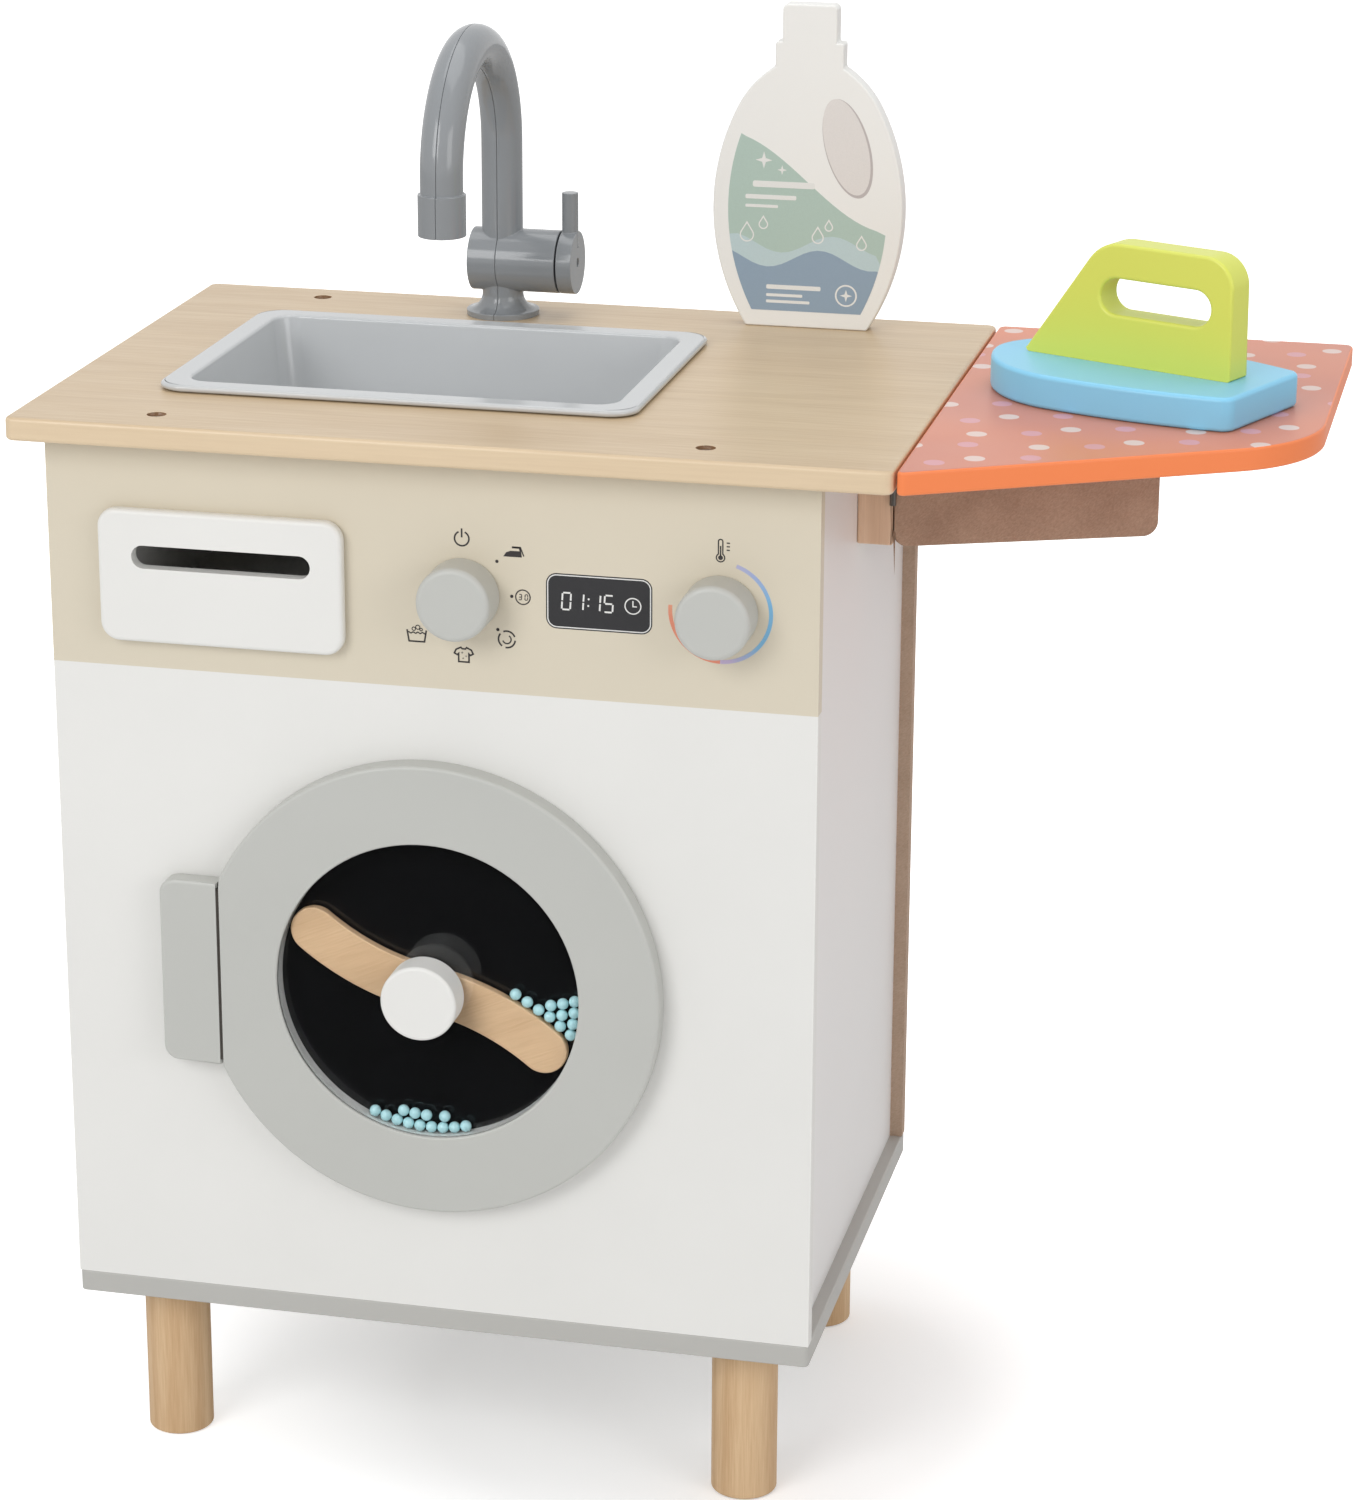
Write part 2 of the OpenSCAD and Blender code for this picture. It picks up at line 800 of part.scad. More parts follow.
module paddle() {
  color(pine) placed() difference() {
    translate([0, chamber_mid + paddle_t / 2, door_z]) rotate([90, 0, 0]) {
      paddle_arm();
      rotate([0, 0, 180]) paddle_arm();
    }
    rod_y(0, door_z, chamber_y, disc_y, shaft_r + run_gap);
  }
}

module paddle_knob() {
  color(white) placed() difference() {
    turned_y(0, pane_y - knob_seat, door_z)
      rounded_outline([[0, 0], [paddle_knob_d / 2, 0], [paddle_knob_d / 2, paddle_knob_h],
        [0, paddle_knob_h]], [0, 1, 2, 0]);
    rod_y(0, door_z, pane_y - spindle_in / 2 - eps, pane_y, shaft_r + run_gap);
  }
}

module paddle_shaft() {
  color(steel) placed()
    rod_y(0, door_z, pane_y - spindle_in / 2, disc_y + back_disc_t + eps + washer_t, shaft_r);
}

module paddle_washer() {
  washer_y = disc_y + back_disc_t + eps;
  color(steel) placed() difference() {
    rod_y(0, door_z, washer_y, washer_y + washer_t, washer_r);
    rod_y(0, door_z, washer_y - 1, washer_y + washer_t + 1, shaft_r + run_gap);
  }
}

// Beads side by side on an arc: rows in from the wall, angle of the first, how many
module bead_row(row, start, count) {
  r = bead_wall_r - row * bead_pitch;
  for (i = [0:count - 1]) {
    turn = start + 2 * i * asin(bead_pitch / 2 / r);
    translate([r * cos(turn), chamber_mid, door_z + r * sin(turn)]) sphere(d = bead_d);
  }
}

// A heap held up by the paddle and a heap at the bottom of the chamber
module beads() {
  color([0.45, 0.76, 0.78]) placed() {
    bead_row(0, -13.8, 4);
    bead_row(1, -11.4, 3);
    bead_row(2, -8.3, 2);
    bead_row(3, -6, 1);
    bead_row(4, -2.6, 1);
    bead_row(5, 1.6, 1);
    bead_row(0, -113.2, 9);
    bead_row(1, -102.2, 3);
    bead_row(1, -84.1, 1);
  }
}

module round_knob(x) {
  color(grey) placed() difference() {
    turned_y(x, -knob_seat, knob_z)
      rounded_outline([[0, 0], [knob_d / 2, 0], [knob_d / 2, knob_h - knob_seat],
        [0, knob_h - knob_seat]], [0, 0.6, knob_soft, 0]);
    rod_y(x, knob_z, -spindle_in - eps, 0, spindle_r + run_gap);
  }
}

module knob_spindle(x) {
  color(steel) placed() {
    rod_y(x, knob_z, -spindle_in, panel_t + knob_seat + washer_t, spindle_r);
    rod_y(x, knob_z, panel_t + knob_seat, panel_t + knob_seat + washer_t, washer_r);
  }
}

module programme_knob() {
  round_knob(programme_x);
}

module programme_spindle() {
  knob_spindle(programme_x);
}

module temperature_knob() {
  round_knob(temperature_x);
}

module temperature_spindle() {
  knob_spindle(temperature_x);
}

module drawer_front() {
  color(white) placed() difference() {
    translate([-drawer_x - drawer_w / 2, -seat_gap, drawer_z - drawer_h / 2])
      rotate([90, 0, 0]) soft_plate(drawer_w, drawer_h, drawer_t, drawer_corner, drawer_soft);
    upright(-drawer_t - 1, drawer_t + 2)
      translate([slot_x - slot_w / 2, slot_z - slot_h / 2])
        rounded_outline([[0, 0], [slot_w, 0], [slot_w, slot_h], [0, slot_h]],
          [1, 1, 1, 1] * (slot_h / 2 - 0.01));
  }
}

module drawer_board(x, y, z, size) {
  color(white) placed() translate([-drawer_x + x, y - seat_gap, box_low + z]) cube(size);
}

module drawer_left_side() {
  drawer_board(-box_w / 2, 0, 0, [box_t, drawer_box_d, box_h]);
}

module drawer_right_side() {
  drawer_board(box_w / 2 - box_t, 0, 0, [box_t, drawer_box_d, box_h]);
}

module drawer_back() {
  drawer_board(-box_w / 2 + box_t, drawer_box_d - box_t, 0, [box_w - 2 * box_t, box_t, box_h]);
}

module drawer_floor() {
  drawer_board(-box_w / 2 + box_t, 0, floor_up,
    [box_w - 2 * box_t, drawer_box_d - box_t, floor_t]);
}

module tap_solid() {
  nozzle_y = tap_y - pipe_reach;
  pipe_z = top_z + column_h;
  translate([-sink_x, tap_y, top_z - stem_l]) cylinder(h = stem_l + 1, r = stem_r);
  translate([-sink_x, tap_y, top_z + eps]) rotate_extrude() difference() {
    square([flange_r, flange_t + flange_r - pipe_r]);
    translate([flange_r, flange_t + flange_r - pipe_r]) circle(flange_r - pipe_r);
  }
  translate([-sink_x, tap_y, top_z + eps]) cylinder(h = column_h - eps, r = pipe_r);
  translate([-sink_x, tap_y - bend_r, pipe_z]) rotate([90, 0, 90])
    rotate_extrude(angle = 180) translate([bend_r, 0]) circle(pipe_r);
  translate([-sink_x, nozzle_y, pipe_z - collar_drop]) cylinder(h = collar_drop, r = pipe_r);
  translate([-sink_x, nozzle_y, pipe_z - collar_drop - collar_h])
    cylinder(h = collar_h, r = collar_r);
  translate([-sink_x - valve_left, tap_y, valve_z]) rotate([0, 90, 0])
    cylinder(h = valve_left + valve_right, r = valve_r);
}

module tap_half(side) {
  color(tap_grey) placed() difference() {
    tap_solid();
    translate([-sink_x + (side < 0 ? -seam / 2 : seam / 2 - tap_far), tap_y - tap_far,
      worktop_z - tap_far])
      cube([tap_far, 2 * tap_far, 3 * tap_far]);
    translate([-sink_x, tap_y - pipe_reach, top_z + column_h - collar_drop - collar_h - 1])
      cylinder(h = nozzle_deep + 1, r = nozzle_r);
    translate([-sink_x + valve_right - tap_spindle_l, tap_y, valve_z]) rotate([0, 90, 0])
      cylinder(h = tap_spindle_l + 1, r = lever_r + run_gap);
  }
}

module faucet_left_half() {
  tap_half(-1);
}

module faucet_right_half() {
  tap_half(1);
}

module faucet_nut() {
  color(grey) placed() difference() {
    translate([-sink_x, tap_y, worktop_z - eps - nut_t]) cylinder(h = nut_t, r = nut_r);
    translate([-sink_x, tap_y, worktop_z - eps - nut_t - 1])
      cylinder(h = nut_t + 2, r = stem_r + run_gap);
  }
}

module tap_lever() {
  knob_x = -sink_x + valve_right + tap_gap;
  color(tap_grey) placed() difference() {
    union() {
      translate([knob_x, tap_y, valve_z]) rotate([0, 90, 0]) cylinder(h = tap_w, r = valve_r);
      translate([knob_x - tap_gap - tap_spindle_l + 1, tap_y, valve_z]) rotate([0, 90, 0])
        cylinder(h = tap_spindle_l + tap_gap, r = lever_r);
      translate([knob_x + tap_w / 2, tap_y, valve_z + valve_r / 2])
        cylinder(h = lever_h - valve_r / 2, r = lever_r);
    }
    translate([knob_x + tap_w - tap_screw_deep, tap_y, valve_z]) rotate([0, 90, 0])
      cylinder(h = tap_screw_deep + 1, r = tap_screw_r + run_gap);
  }
}

module tap_screw() {
  seat_x = -sink_x + valve_right + tap_gap + tap_w - tap_screw_deep;
  color(steel) placed() translate([seat_x + seat_gap, tap_y, valve_z])
    rotate([0, 90, 0]) cylinder(h = tap_screw_t, r = tap_screw_r);
}

module support_bracket() {
  low = worktop_z - bracket_top_gap - bracket_h;
  color(brown) placed() difference() {
    translate([block_end + gap, block_y, 0]) rotate([0, 0, bracket_angle])
      upright(0, bracket_t)
        rounded_outline([[0, low], [bracket_l, low], [bracket_l, low + bracket_h],
          [0, low + bracket_h]], [bracket_corner, bracket_corner, 1, 1]);
    translate([block_end + gap - bracket_l, block_y - bracket_l / 2, low - 1])
      cube([bracket_l, bracket_l, bracket_h + 2]);
    bracket_hinge_at() leaf_recess(bracket_leaf_h, bracket_leaf_w);
  }
}

module bracket_hinge_moving_leaf() {
  color(steel) placed() bracket_hinge_at()
    hinge_leaf(bracket_leaf_h, bracket_leaf_w, leaf_t, leaf_off, bracket_knuckle_r, false);
}

module ironing_board() {
  color([0.93, 0.55, 0.42]) placed() difference() {
    translate([0, 0, worktop_z]) linear_extrude(board_t)
      rounded_outline([[board_x, board_front],
        [board_end, board_front + board_w * tan(board_slope)],
        [board_end, board_front + worktop_d], [board_x, board_front + worktop_d]],
        [3, board_corner, 5, 4]);
    board_hinge_recess();
  }
}

// Half of the sole's outline: nose, shoulder and side arcs meeting without a corner
function arc_meet(c0, c1, a, b) =
  let (d = norm(c1 - c0), k = (a * a - b * b + d * d) / (2 * d), u = (c1 - c0) / d)
    c0 + k * u + sqrt(a * a - k * k) * [-u.y, u.x];

module sole_half() {
  side_c = [side_s, sole_w / 2 - side_r];
  nose_c = [nose_r, 0];
  shoulder_c = arc_meet(nose_c, side_c, shoulder_r - nose_r, side_r - shoulder_r);
  away = nose_c - shoulder_c;
  s1 = nose_c.x + away.x / norm(away) * nose_r;
  along = shoulder_c - side_c;
  s2 = side_c.x + along.x / norm(along) * side_r;
  arcs = [[nose_c, nose_r, 0, s1], [shoulder_c, shoulder_r - join, s1 - 2 * join, s2],
    [side_c, side_r - 2 * join, s2 - 2 * join, sole_l]];
  for (arc = arcs)
    intersection() {
      translate(arc[0]) circle(arc[1], $fn = 240);
      translate([arc[2], -1]) square([arc[3] - arc[2], sole_w]);
    }
}

module sole_outline() {
  end_w = sole_w / 2 - side_r + sqrt(pow(side_r, 2) - pow(sole_l - side_s, 2));
  lean = (sole_l - side_s) / sqrt(pow(side_r, 2) - pow(sole_l - side_s, 2));
  wide = end_w + lean * sole_l;
  intersection() {
    union() {
      sole_half();
      mirror([0, 1]) sole_half();
    }
    rounded_outline([[sole_l, -end_w], [sole_l, end_w], [0, wide], [-sole_w, 0], [0, -wide]],
      [sole_corner, sole_corner, 0, 0, 0]);
  }
}

module iron_sole() {
  color([0.42, 0.72, 0.86]) placed() translate([iron_at.x, iron_at.y, board_top + seat_gap])
    rotate([0, 0, iron_turn]) linear_extrude(sole_t) sole_outline();
}

module iron_handle() {
  color([0.76, 0.81, 0.33]) placed()
    translate([iron_at.x, iron_at.y, board_top + 2 * seat_gap + sole_t]) rotate([0, 0, iron_turn])
      translate([handle_s, 0, 0]) upright(handle_side - handle_t / 2, handle_t) difference() {
        rounded_outline([[0, 0], [handle_l, 0], [handle_l, handle_h], [handle_slant, handle_h]],
          handle_corners);
        translate([hand_from, hand_low])
          rounded_outline([[0, 0], [hand_to - hand_from, 0],
            [hand_to - hand_from, hand_high - hand_low], [0, hand_high - hand_low]],
            [1, 1, 1, 1] * ((hand_high - hand_low) / 2 - 0.01));
      }
}

// Right side of the bottle: a large arc that runs into a smaller one at the shoulder
module bottle_side() {
  side_x = bottle_w / 2 - bottle_side_r;
  away = (bottle_side_r - bottle_shoulder_r) * [cos(bottle_shoulder_turn), sin(bottle_shoulder_turn)];
  meet_z = bottle_wide_z + bottle_side_r * sin(bottle_shoulder_turn);
  intersection() {
    translate([side_x, bottle_wide_z]) circle(bottle_side_r, $fn = 240);
    translate([-bottle_neck / 2, 0]) square([bottle_w, meet_z]);
  }
  intersection() {
    translate([side_x, bottle_wide_z] + away) circle(bottle_shoulder_r - join, $fn = 240);
    translate([-bottle_neck / 2, meet_z - 2 * join]) square([bottle_w, bottle_h - meet_z]);
  }
}

module detergent_bottle() {
  color(white) placed() translate([bottle_x, 0, top_z + seat_gap]) upright(bottle_y, bottle_t) {
    bottle_side();
    mirror([1, 0]) bottle_side();
    translate([-bottle_neck, bottle_h / 2])
      rounded_rect(2 * bottle_neck, bottle_neck_top - bottle_h / 2, bottle_neck_soft);
    translate([-bottle_cap, bottle_h / 2])
      rounded_rect(2 * bottle_cap, bottle_h / 2, bottle_cap_soft);
  }
}

worktop();
worktop_screws();
sink_basin();
front_panel();
left_side_panel();
right_side_panel();
back_panel();
base_panel();
base_screws();
front_left_leg();
front_right_leg();
back_left_leg();
back_right_leg();
leg_bolts();
door_hinge_block();
door_hinge_fixed_leaf();
door_magnet();
drawer_rails();
bracket_block();
bracket_hinge_fixed_leaf();
board_hinge_worktop_leaves();
door_ring();
window_pane();
window_spacer();
chamber_back();
door_hinge_moving_leaf();
door_strike();
paddle();
paddle_knob();
paddle_shaft();
paddle_washer();
beads();
programme_knob();
programme_spindle();
temperature_knob();
temperature_spindle();
drawer_front();
drawer_left_side();
drawer_right_side();
drawer_back();
drawer_floor();
faucet_left_half();
faucet_right_half();
faucet_nut();
tap_lever();
tap_screw();
support_bracket();
bracket_hinge_moving_leaf();
ironing_board();
board_hinge_board_leaves();
iron_sole();
iron_handle();
detergent_bottle();
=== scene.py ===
import math

import bmesh
import bpy
from mathutils import Matrix, Vector


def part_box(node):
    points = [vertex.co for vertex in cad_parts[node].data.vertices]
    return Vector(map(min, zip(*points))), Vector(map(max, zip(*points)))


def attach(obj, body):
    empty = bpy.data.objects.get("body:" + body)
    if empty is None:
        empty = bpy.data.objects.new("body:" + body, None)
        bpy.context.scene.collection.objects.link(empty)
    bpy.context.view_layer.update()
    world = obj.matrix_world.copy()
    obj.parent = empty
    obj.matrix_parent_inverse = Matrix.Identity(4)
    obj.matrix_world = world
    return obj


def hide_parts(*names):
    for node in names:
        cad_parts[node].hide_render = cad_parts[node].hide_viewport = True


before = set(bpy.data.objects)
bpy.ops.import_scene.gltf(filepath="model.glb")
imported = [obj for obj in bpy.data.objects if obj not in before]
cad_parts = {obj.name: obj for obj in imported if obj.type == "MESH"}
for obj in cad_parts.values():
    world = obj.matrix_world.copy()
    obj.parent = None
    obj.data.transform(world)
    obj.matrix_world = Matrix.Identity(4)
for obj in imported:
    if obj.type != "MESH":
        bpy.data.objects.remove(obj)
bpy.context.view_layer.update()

# Lengths below are cabinet millimetres: x from the cabinet's centre, y back from the
# front panel's face, z up from the floor. at() turns them into the frame's metres.
MM = 0.001
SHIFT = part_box("front_panel")[0] - Vector((-199.0, 0.0, 104.0)) * MM

WORKTOP_TOP = 578.0
BAND_Z = 446.5
KNOB_Z = 496.5
TEMPERATURE_X = 149.5
DOOR_Z = 286.5
BOTTLE_X, BOTTLE_Y = 137.0, 270.8
HANDLE_FOOT = 598.0


def at(x, y, z):
    """Point of the frame, in metres, from cabinet millimetres."""
    return Vector((x, y, z)) * MM + SHIFT


# The photograph's frame in pixels, and the camera's turn in degrees and place
PHOTO_LONG = 1500
FOCAL_PX = 4275.15
CENTRE_PX = (640.6, 744.05)
FRAME_CENTRE_PX = (677.0, 750.0)
SENSOR = 36.0
CAMERA_TURN = (13.278, 18.429, 0.125)
CAMERA_PLACE = (572.62, -1962.86, 1097.47)
CLIP = (0.05, 50)


def make_camera():
    """Camera at the photograph's viewing angle."""
    yaw, pitch, roll = (math.radians(a) for a in CAMERA_TURN)
    forward = Vector((-math.sin(yaw) * math.cos(pitch), math.cos(yaw) * math.cos(pitch),
                      -math.sin(pitch)))
    level = Vector((math.cos(yaw), math.sin(yaw), 0))
    rise = level.cross(forward)
    right = level * math.cos(roll) + rise * math.sin(roll)
    top = rise * math.cos(roll) - level * math.sin(roll)
    data = bpy.data.cameras.new("camera")
    data.sensor_width = SENSOR
    data.lens = FOCAL_PX / PHOTO_LONG * SENSOR
    data.shift_x = (FRAME_CENTRE_PX[0] - CENTRE_PX[0]) / PHOTO_LONG
    data.shift_y = (CENTRE_PX[1] - FRAME_CENTRE_PX[1]) / PHOTO_LONG
    data.clip_start, data.clip_end = CLIP
    camera = bpy.data.objects.new("camera", data)
    bpy.context.scene.collection.objects.link(camera)
    place = Matrix((right, top, -forward)).transposed().to_4x4()
    place.translation = at(*CAMERA_PLACE)
    camera.matrix_world = place
    bpy.context.scene.camera = camera


# Shader nodes

def add(tree, kind, **values):
    """One shader node. A value that is a socket is linked, any other is set."""
    made = tree.nodes.new(kind)
    for key, value in values.items():
        key = key.replace("_", " ")
        if hasattr(made, key.replace(" ", "_")) and key not in made.inputs:
            setattr(made, key.replace(" ", "_"), value)
            continue
        plug(tree, made.inputs[key], value)
    return made


def plug(tree, socket, value):
    if isinstance(value, bpy.types.NodeSocket):
        tree.links.new(value, socket)
    else:
        socket.default_value = value


def math_node(tree, operation, a, b=0.0, c=None, clamp=False):
    """Sum, product or other operation on one to three values."""
    made = tree.nodes.new("ShaderNodeMath")
    made.operation, made.use_clamp = operation, clamp
    for socket, value in zip(made.inputs, (a, b) if c is None else (a, b, c)):
        plug(tree, socket, value)
    return made.outputs[0]


def vector_node(tree, operation, a, b=(0, 0, 0)):
    made = tree.nodes.new("ShaderNodeVectorMath")
    made.operation = operation
    plug(tree, made.inputs[0], a)
    plug(tree, made.inputs[1], b)
    return made.outputs["Value" if operation in ("DOT_PRODUCT", "LENGTH") else "Vector"]


def noise(tree, vector, scale, detail=3.0, roughness=0.5, distortion=0.0):
    """Value of a noise pattern round 0.5."""
    made = add(tree, "ShaderNodeTexNoise", Vector=vector, Scale=scale, Detail=detail,
               Roughness=roughness, Distortion=distortion)
    return made.outputs[0]


def remap(tree, value, low, high, to_low=0.0, to_high=1.0):
    """Value stretched from one range to another and held inside it."""
    made = tree.nodes.new("ShaderNodeMapRange")
    for name, v in (("Value", value), ("From Min", low), ("From Max", high),
                    ("To Min", to_low), ("To Max", to_high)):
        plug(tree, made.inputs[name], v)
    return made.outputs[0]


# Sockets of the mix node when it mixes colours
MIX_FACTOR, MIX_A, MIX_B, MIX_RESULT = 0, 6, 7, 2


def blend(tree, factor, a, b):
    """Colour between a and b."""
    made = tree.nodes.new("ShaderNodeMix")
    made.data_type = "RGBA"
    plug(tree, made.inputs[MIX_FACTOR], factor)
    plug(tree, made.inputs[MIX_A], a)
    plug(tree, made.inputs[MIX_B], b)
    return made.outputs[MIX_RESULT]


def rgb(color):
    return (*color, 1.0)


def tinted(color, share):
    """Colour made lighter or darker by a share, held at white."""
    return rgb([min(1.0, c * share) for c in color])


def new_group(name, inputs, outputs):
    """Node group with its sockets, and the ends that its nodes plug into."""
    group = bpy.data.node_groups.new(name, "ShaderNodeTree")
    for socket, kind, value in inputs:
        made = group.interface.new_socket(socket, in_out="INPUT", socket_type=kind)
        if value is not None:
            made.default_value = value
    for socket, kind in outputs:
        group.interface.new_socket(socket, in_out="OUTPUT", socket_type=kind)
    return group, group.nodes.new("NodeGroupInput").outputs, group.nodes.new("NodeGroupOutput").inputs


FULL_TURN = 6.2832
ALONG_FIBRE, ALONG_RING = 0.035, 0.12


def wood_grain_group():
    """Grain that runs along the vector's x: fine fibres, broader rings and their height."""
    g, given, out = new_group(
        "wood_grain",
        [("Vector", "NodeSocketVector", None), ("Fineness", "NodeSocketFloat", 900.0),
         ("Rings", "NodeSocketFloat", 60.0), ("Waver", "NodeSocketFloat", 0.4)],
        [("Fibre", "NodeSocketFloat"), ("Ring", "NodeSocketFloat"), ("Height", "NodeSocketFloat")])
    slow = vector_node(g, "MULTIPLY", given["Vector"], (ALONG_FIBRE, 1.0, 1.0))
    slower = vector_node(g, "MULTIPLY", given["Vector"], (ALONG_RING, 1.0, 1.0))
    fibre = noise(g, slow, given["Fineness"], 4.0, 0.6)
    drift = noise(g, slower, 14.0, 2.0, 0.5)
    pushed = math_node(g, "MULTIPLY", drift, given["Waver"])
    parts = add(g, "ShaderNodeSeparateXYZ", Vector=slower)
    across = math_node(g, "ADD", parts.outputs[1], math_node(g, "MULTIPLY", parts.outputs[2], 0.8))
    phase = math_node(g, "ADD", math_node(g, "MULTIPLY", across, given["Rings"]),
                      math_node(g, "MULTIPLY", pushed, 6.0))
    wave = math_node(g, "SINE", math_node(g, "MULTIPLY", phase, FULL_TURN))
    ring = remap(g, wave, -0.6, 1.0)
    fine = remap(g, fibre, 0.35, 0.68)
    plug(g, out["Fibre"], fine)
    plug(g, out["Ring"], ring)
    plug(g, out["Height"], math_node(g, "ADD", fine, math_node(g, "MULTIPLY", ring, 0.4)))
    return g


def edge_wear_group():
    """Mask that is 1 on rounded or sharp edges, broken up by noise."""
    g, given, out = new_group(
        "edge_wear",
        [("Vector", "NodeSocketVector", None), ("Width", "NodeSocketFloat", 0.002),
         ("Break", "NodeSocketFloat", 0.5)],
        [("Mask", "NodeSocketFloat")])
    bevel = g.nodes.new("ShaderNodeBevel")
    bevel.samples = 4
    plug(g, bevel.inputs["Radius"], given["Width"])
    true = g.nodes.new("ShaderNodeNewGeometry").outputs["True Normal"]
    bent = vector_node(g, "DOT_PRODUCT", bevel.outputs[0], true)
    edge = remap(g, bent, 0.995, 0.9)
    patches = remap(g, noise(g, given["Vector"], 90.0, 3.0), 0.35, 0.65)
    kept = math_node(g, "SUBTRACT", 1.0, math_node(g, "MULTIPLY", patches, given["Break"]))
    plug(g, out["Mask"], math_node(g, "MULTIPLY", edge, kept, clamp=True))
    return g


def paint_skin_group():
    """Sprayed paint: fine orange peel height and a slow tone drift around 0.5."""
    g, given, out = new_group(
        "paint_skin",
        [("Vector", "NodeSocketVector", None), ("Peel", "NodeSocketFloat", 700.0)],
        [("Height", "NodeSocketFloat"), ("Tone", "NodeSocketFloat"), ("Speck", "NodeSocketFloat")])
    peel = noise(g, given["Vector"], given["Peel"], 2.0, 0.5)
    broad = noise(g, given["Vector"], 60.0, 2.0, 0.5)
    plug(g, out["Height"], math_node(g, "ADD", peel, math_node(g, "MULTIPLY", broad, 0.6)))
    plug(g, out["Tone"], remap(g, noise(g, given["Vector"], 7.0, 3.0, 0.6), 0.3, 0.7))
    specks = noise(g, given["Vector"], 2600.0, 1.0, 0.4)
    plug(g, out["Speck"], remap(g, specks, 0.70, 0.78))
    return g


GRAIN = wood_grain_group()
WEAR = edge_wear_group()
SKIN = paint_skin_group()


class Finish:
    """A material: its tree, its shader and the object coordinates its patterns read."""

    def __init__(self, name, roughness=0.45, **shader):
        self.material = bpy.data.materials.new(name)
        self.material.use_nodes = True
        self.tree = self.material.node_tree
        self.tree.nodes.clear()
        output = self.tree.nodes.new("ShaderNodeOutputMaterial")
        self.shader = self.tree.nodes.new("ShaderNodeBsdfPrincipled")
        self.tree.links.new(self.shader.outputs[0], output.inputs[0])
        self.here = self.tree.nodes.new("ShaderNodeTexCoord").outputs["Object"]
        self.shader.inputs["Roughness"].default_value = roughness
        for key, value in shader.items():
            self.shader.inputs[key.replace("_", " ")].default_value = value

    def group(self, which, **values):
        made = self.tree.nodes.new("ShaderNodeGroup")
        made.node_tree = which
        if "Vector" in made.inputs and "Vector" not in values:
            values["Vector"] = self.here
        for key, value in values.items():
            plug(self.tree, made.inputs[key], value)
        return made.outputs

    def turned(self, x=0.0, y=0.0, z=0.0):
        mapping = add(self.tree, "ShaderNodeMapping", Vector=self.here)
        mapping.inputs["Rotation"].default_value = [math.radians(a) for a in (x, y, z)]
        return mapping.outputs[0]

    def color(self, value):
        plug(self.tree, self.shader.inputs["Base Color"], value)

    def roughness(self, value):
        plug(self.tree, self.shader.inputs["Roughness"], value)

    def bump(self, height, strength, distance):
        made = add(self.tree, "ShaderNodeBump", Height=height, Strength=strength, Distance=distance)
        plug(self.tree, self.shader.inputs["Normal"], made.outputs[0])


def painted(name, color, edge=1.08, roughness=0.42, peel=0.05, board=0.02):
    """Satin paint on fibreboard, a touch lighter and thinner along its edges."""
    f = Finish(name, roughness)
    skin = f.group(SKIN)
    worn = f.group(WEAR, Width=0.0018)["Mask"]
    tone = blend(f.tree, skin["Tone"], tinted(color, 0.985), tinted(color, 1.01))
    specked = blend(f.tree, math_node(f.tree, "MULTIPLY", skin["Speck"], board), tone,
                    tinted(color, 0.7))
    f.color(blend(f.tree, math_node(f.tree, "MULTIPLY", worn, 0.5), specked, tinted(color, edge)))
    f.roughness(remap(f.tree, skin["Tone"], 0.0, 1.0, roughness - 0.04, roughness + 0.05))
    f.bump(skin["Height"], peel, 0.0004)
    return f


def timber(name, pale, dark, along, fineness=900.0, rings=60.0, waver=0.4, ring_share=0.5,
           roughness=0.5, bump=0.12):
    """Bare wood with its grain along a turned axis."""
    f = Finish(name, roughness)
    grain = f.group(GRAIN, Vector=f.turned(*along), Fineness=fineness, Rings=rings, Waver=waver)
    share = math_node(f.tree, "ADD", math_node(f.tree, "MULTIPLY", grain["Fibre"], 1.0 - ring_share),
                      math_node(f.tree, "MULTIPLY", grain["Ring"], ring_share), clamp=True)
    worn = f.group(WEAR, Width=0.0015)["Mask"]
    wood = blend(f.tree, share, rgb(pale), rgb(dark))
    f.color(blend(f.tree, math_node(f.tree, "MULTIPLY", worn, 0.35), wood, tinted(pale, 1.12)))
    f.roughness(remap(f.tree, grain["Fibre"], 0.0, 1.0, roughness, roughness + 0.1))
    f.bump(grain["Height"], bump, 0.0003)
    return f


def raw_board(name, pale, dark):
    """Unpainted fibreboard: matted fibres and fine specks."""
    f = Finish(name, 0.8)
    stretched = vector_node(f.tree, "MULTIPLY", f.turned(0, 35, 0), (0.35, 1.0, 1.0))
    fibres = noise(f.tree, stretched, 1300.0, 4.0, 0.7)
    clouds = noise(f.tree, f.here, 35.0, 3.0, 0.6)
    mixed = math_node(f.tree, "ADD", math_node(f.tree, "MULTIPLY", fibres, 0.65),
                      math_node(f.tree, "MULTIPLY", clouds, 0.35))
    f.color(blend(f.tree, remap(f.tree, mixed, 0.36, 0.64), rgb(dark), rgb(pale)))
    f.bump(fibres, 0.25, 0.0004)
    return f


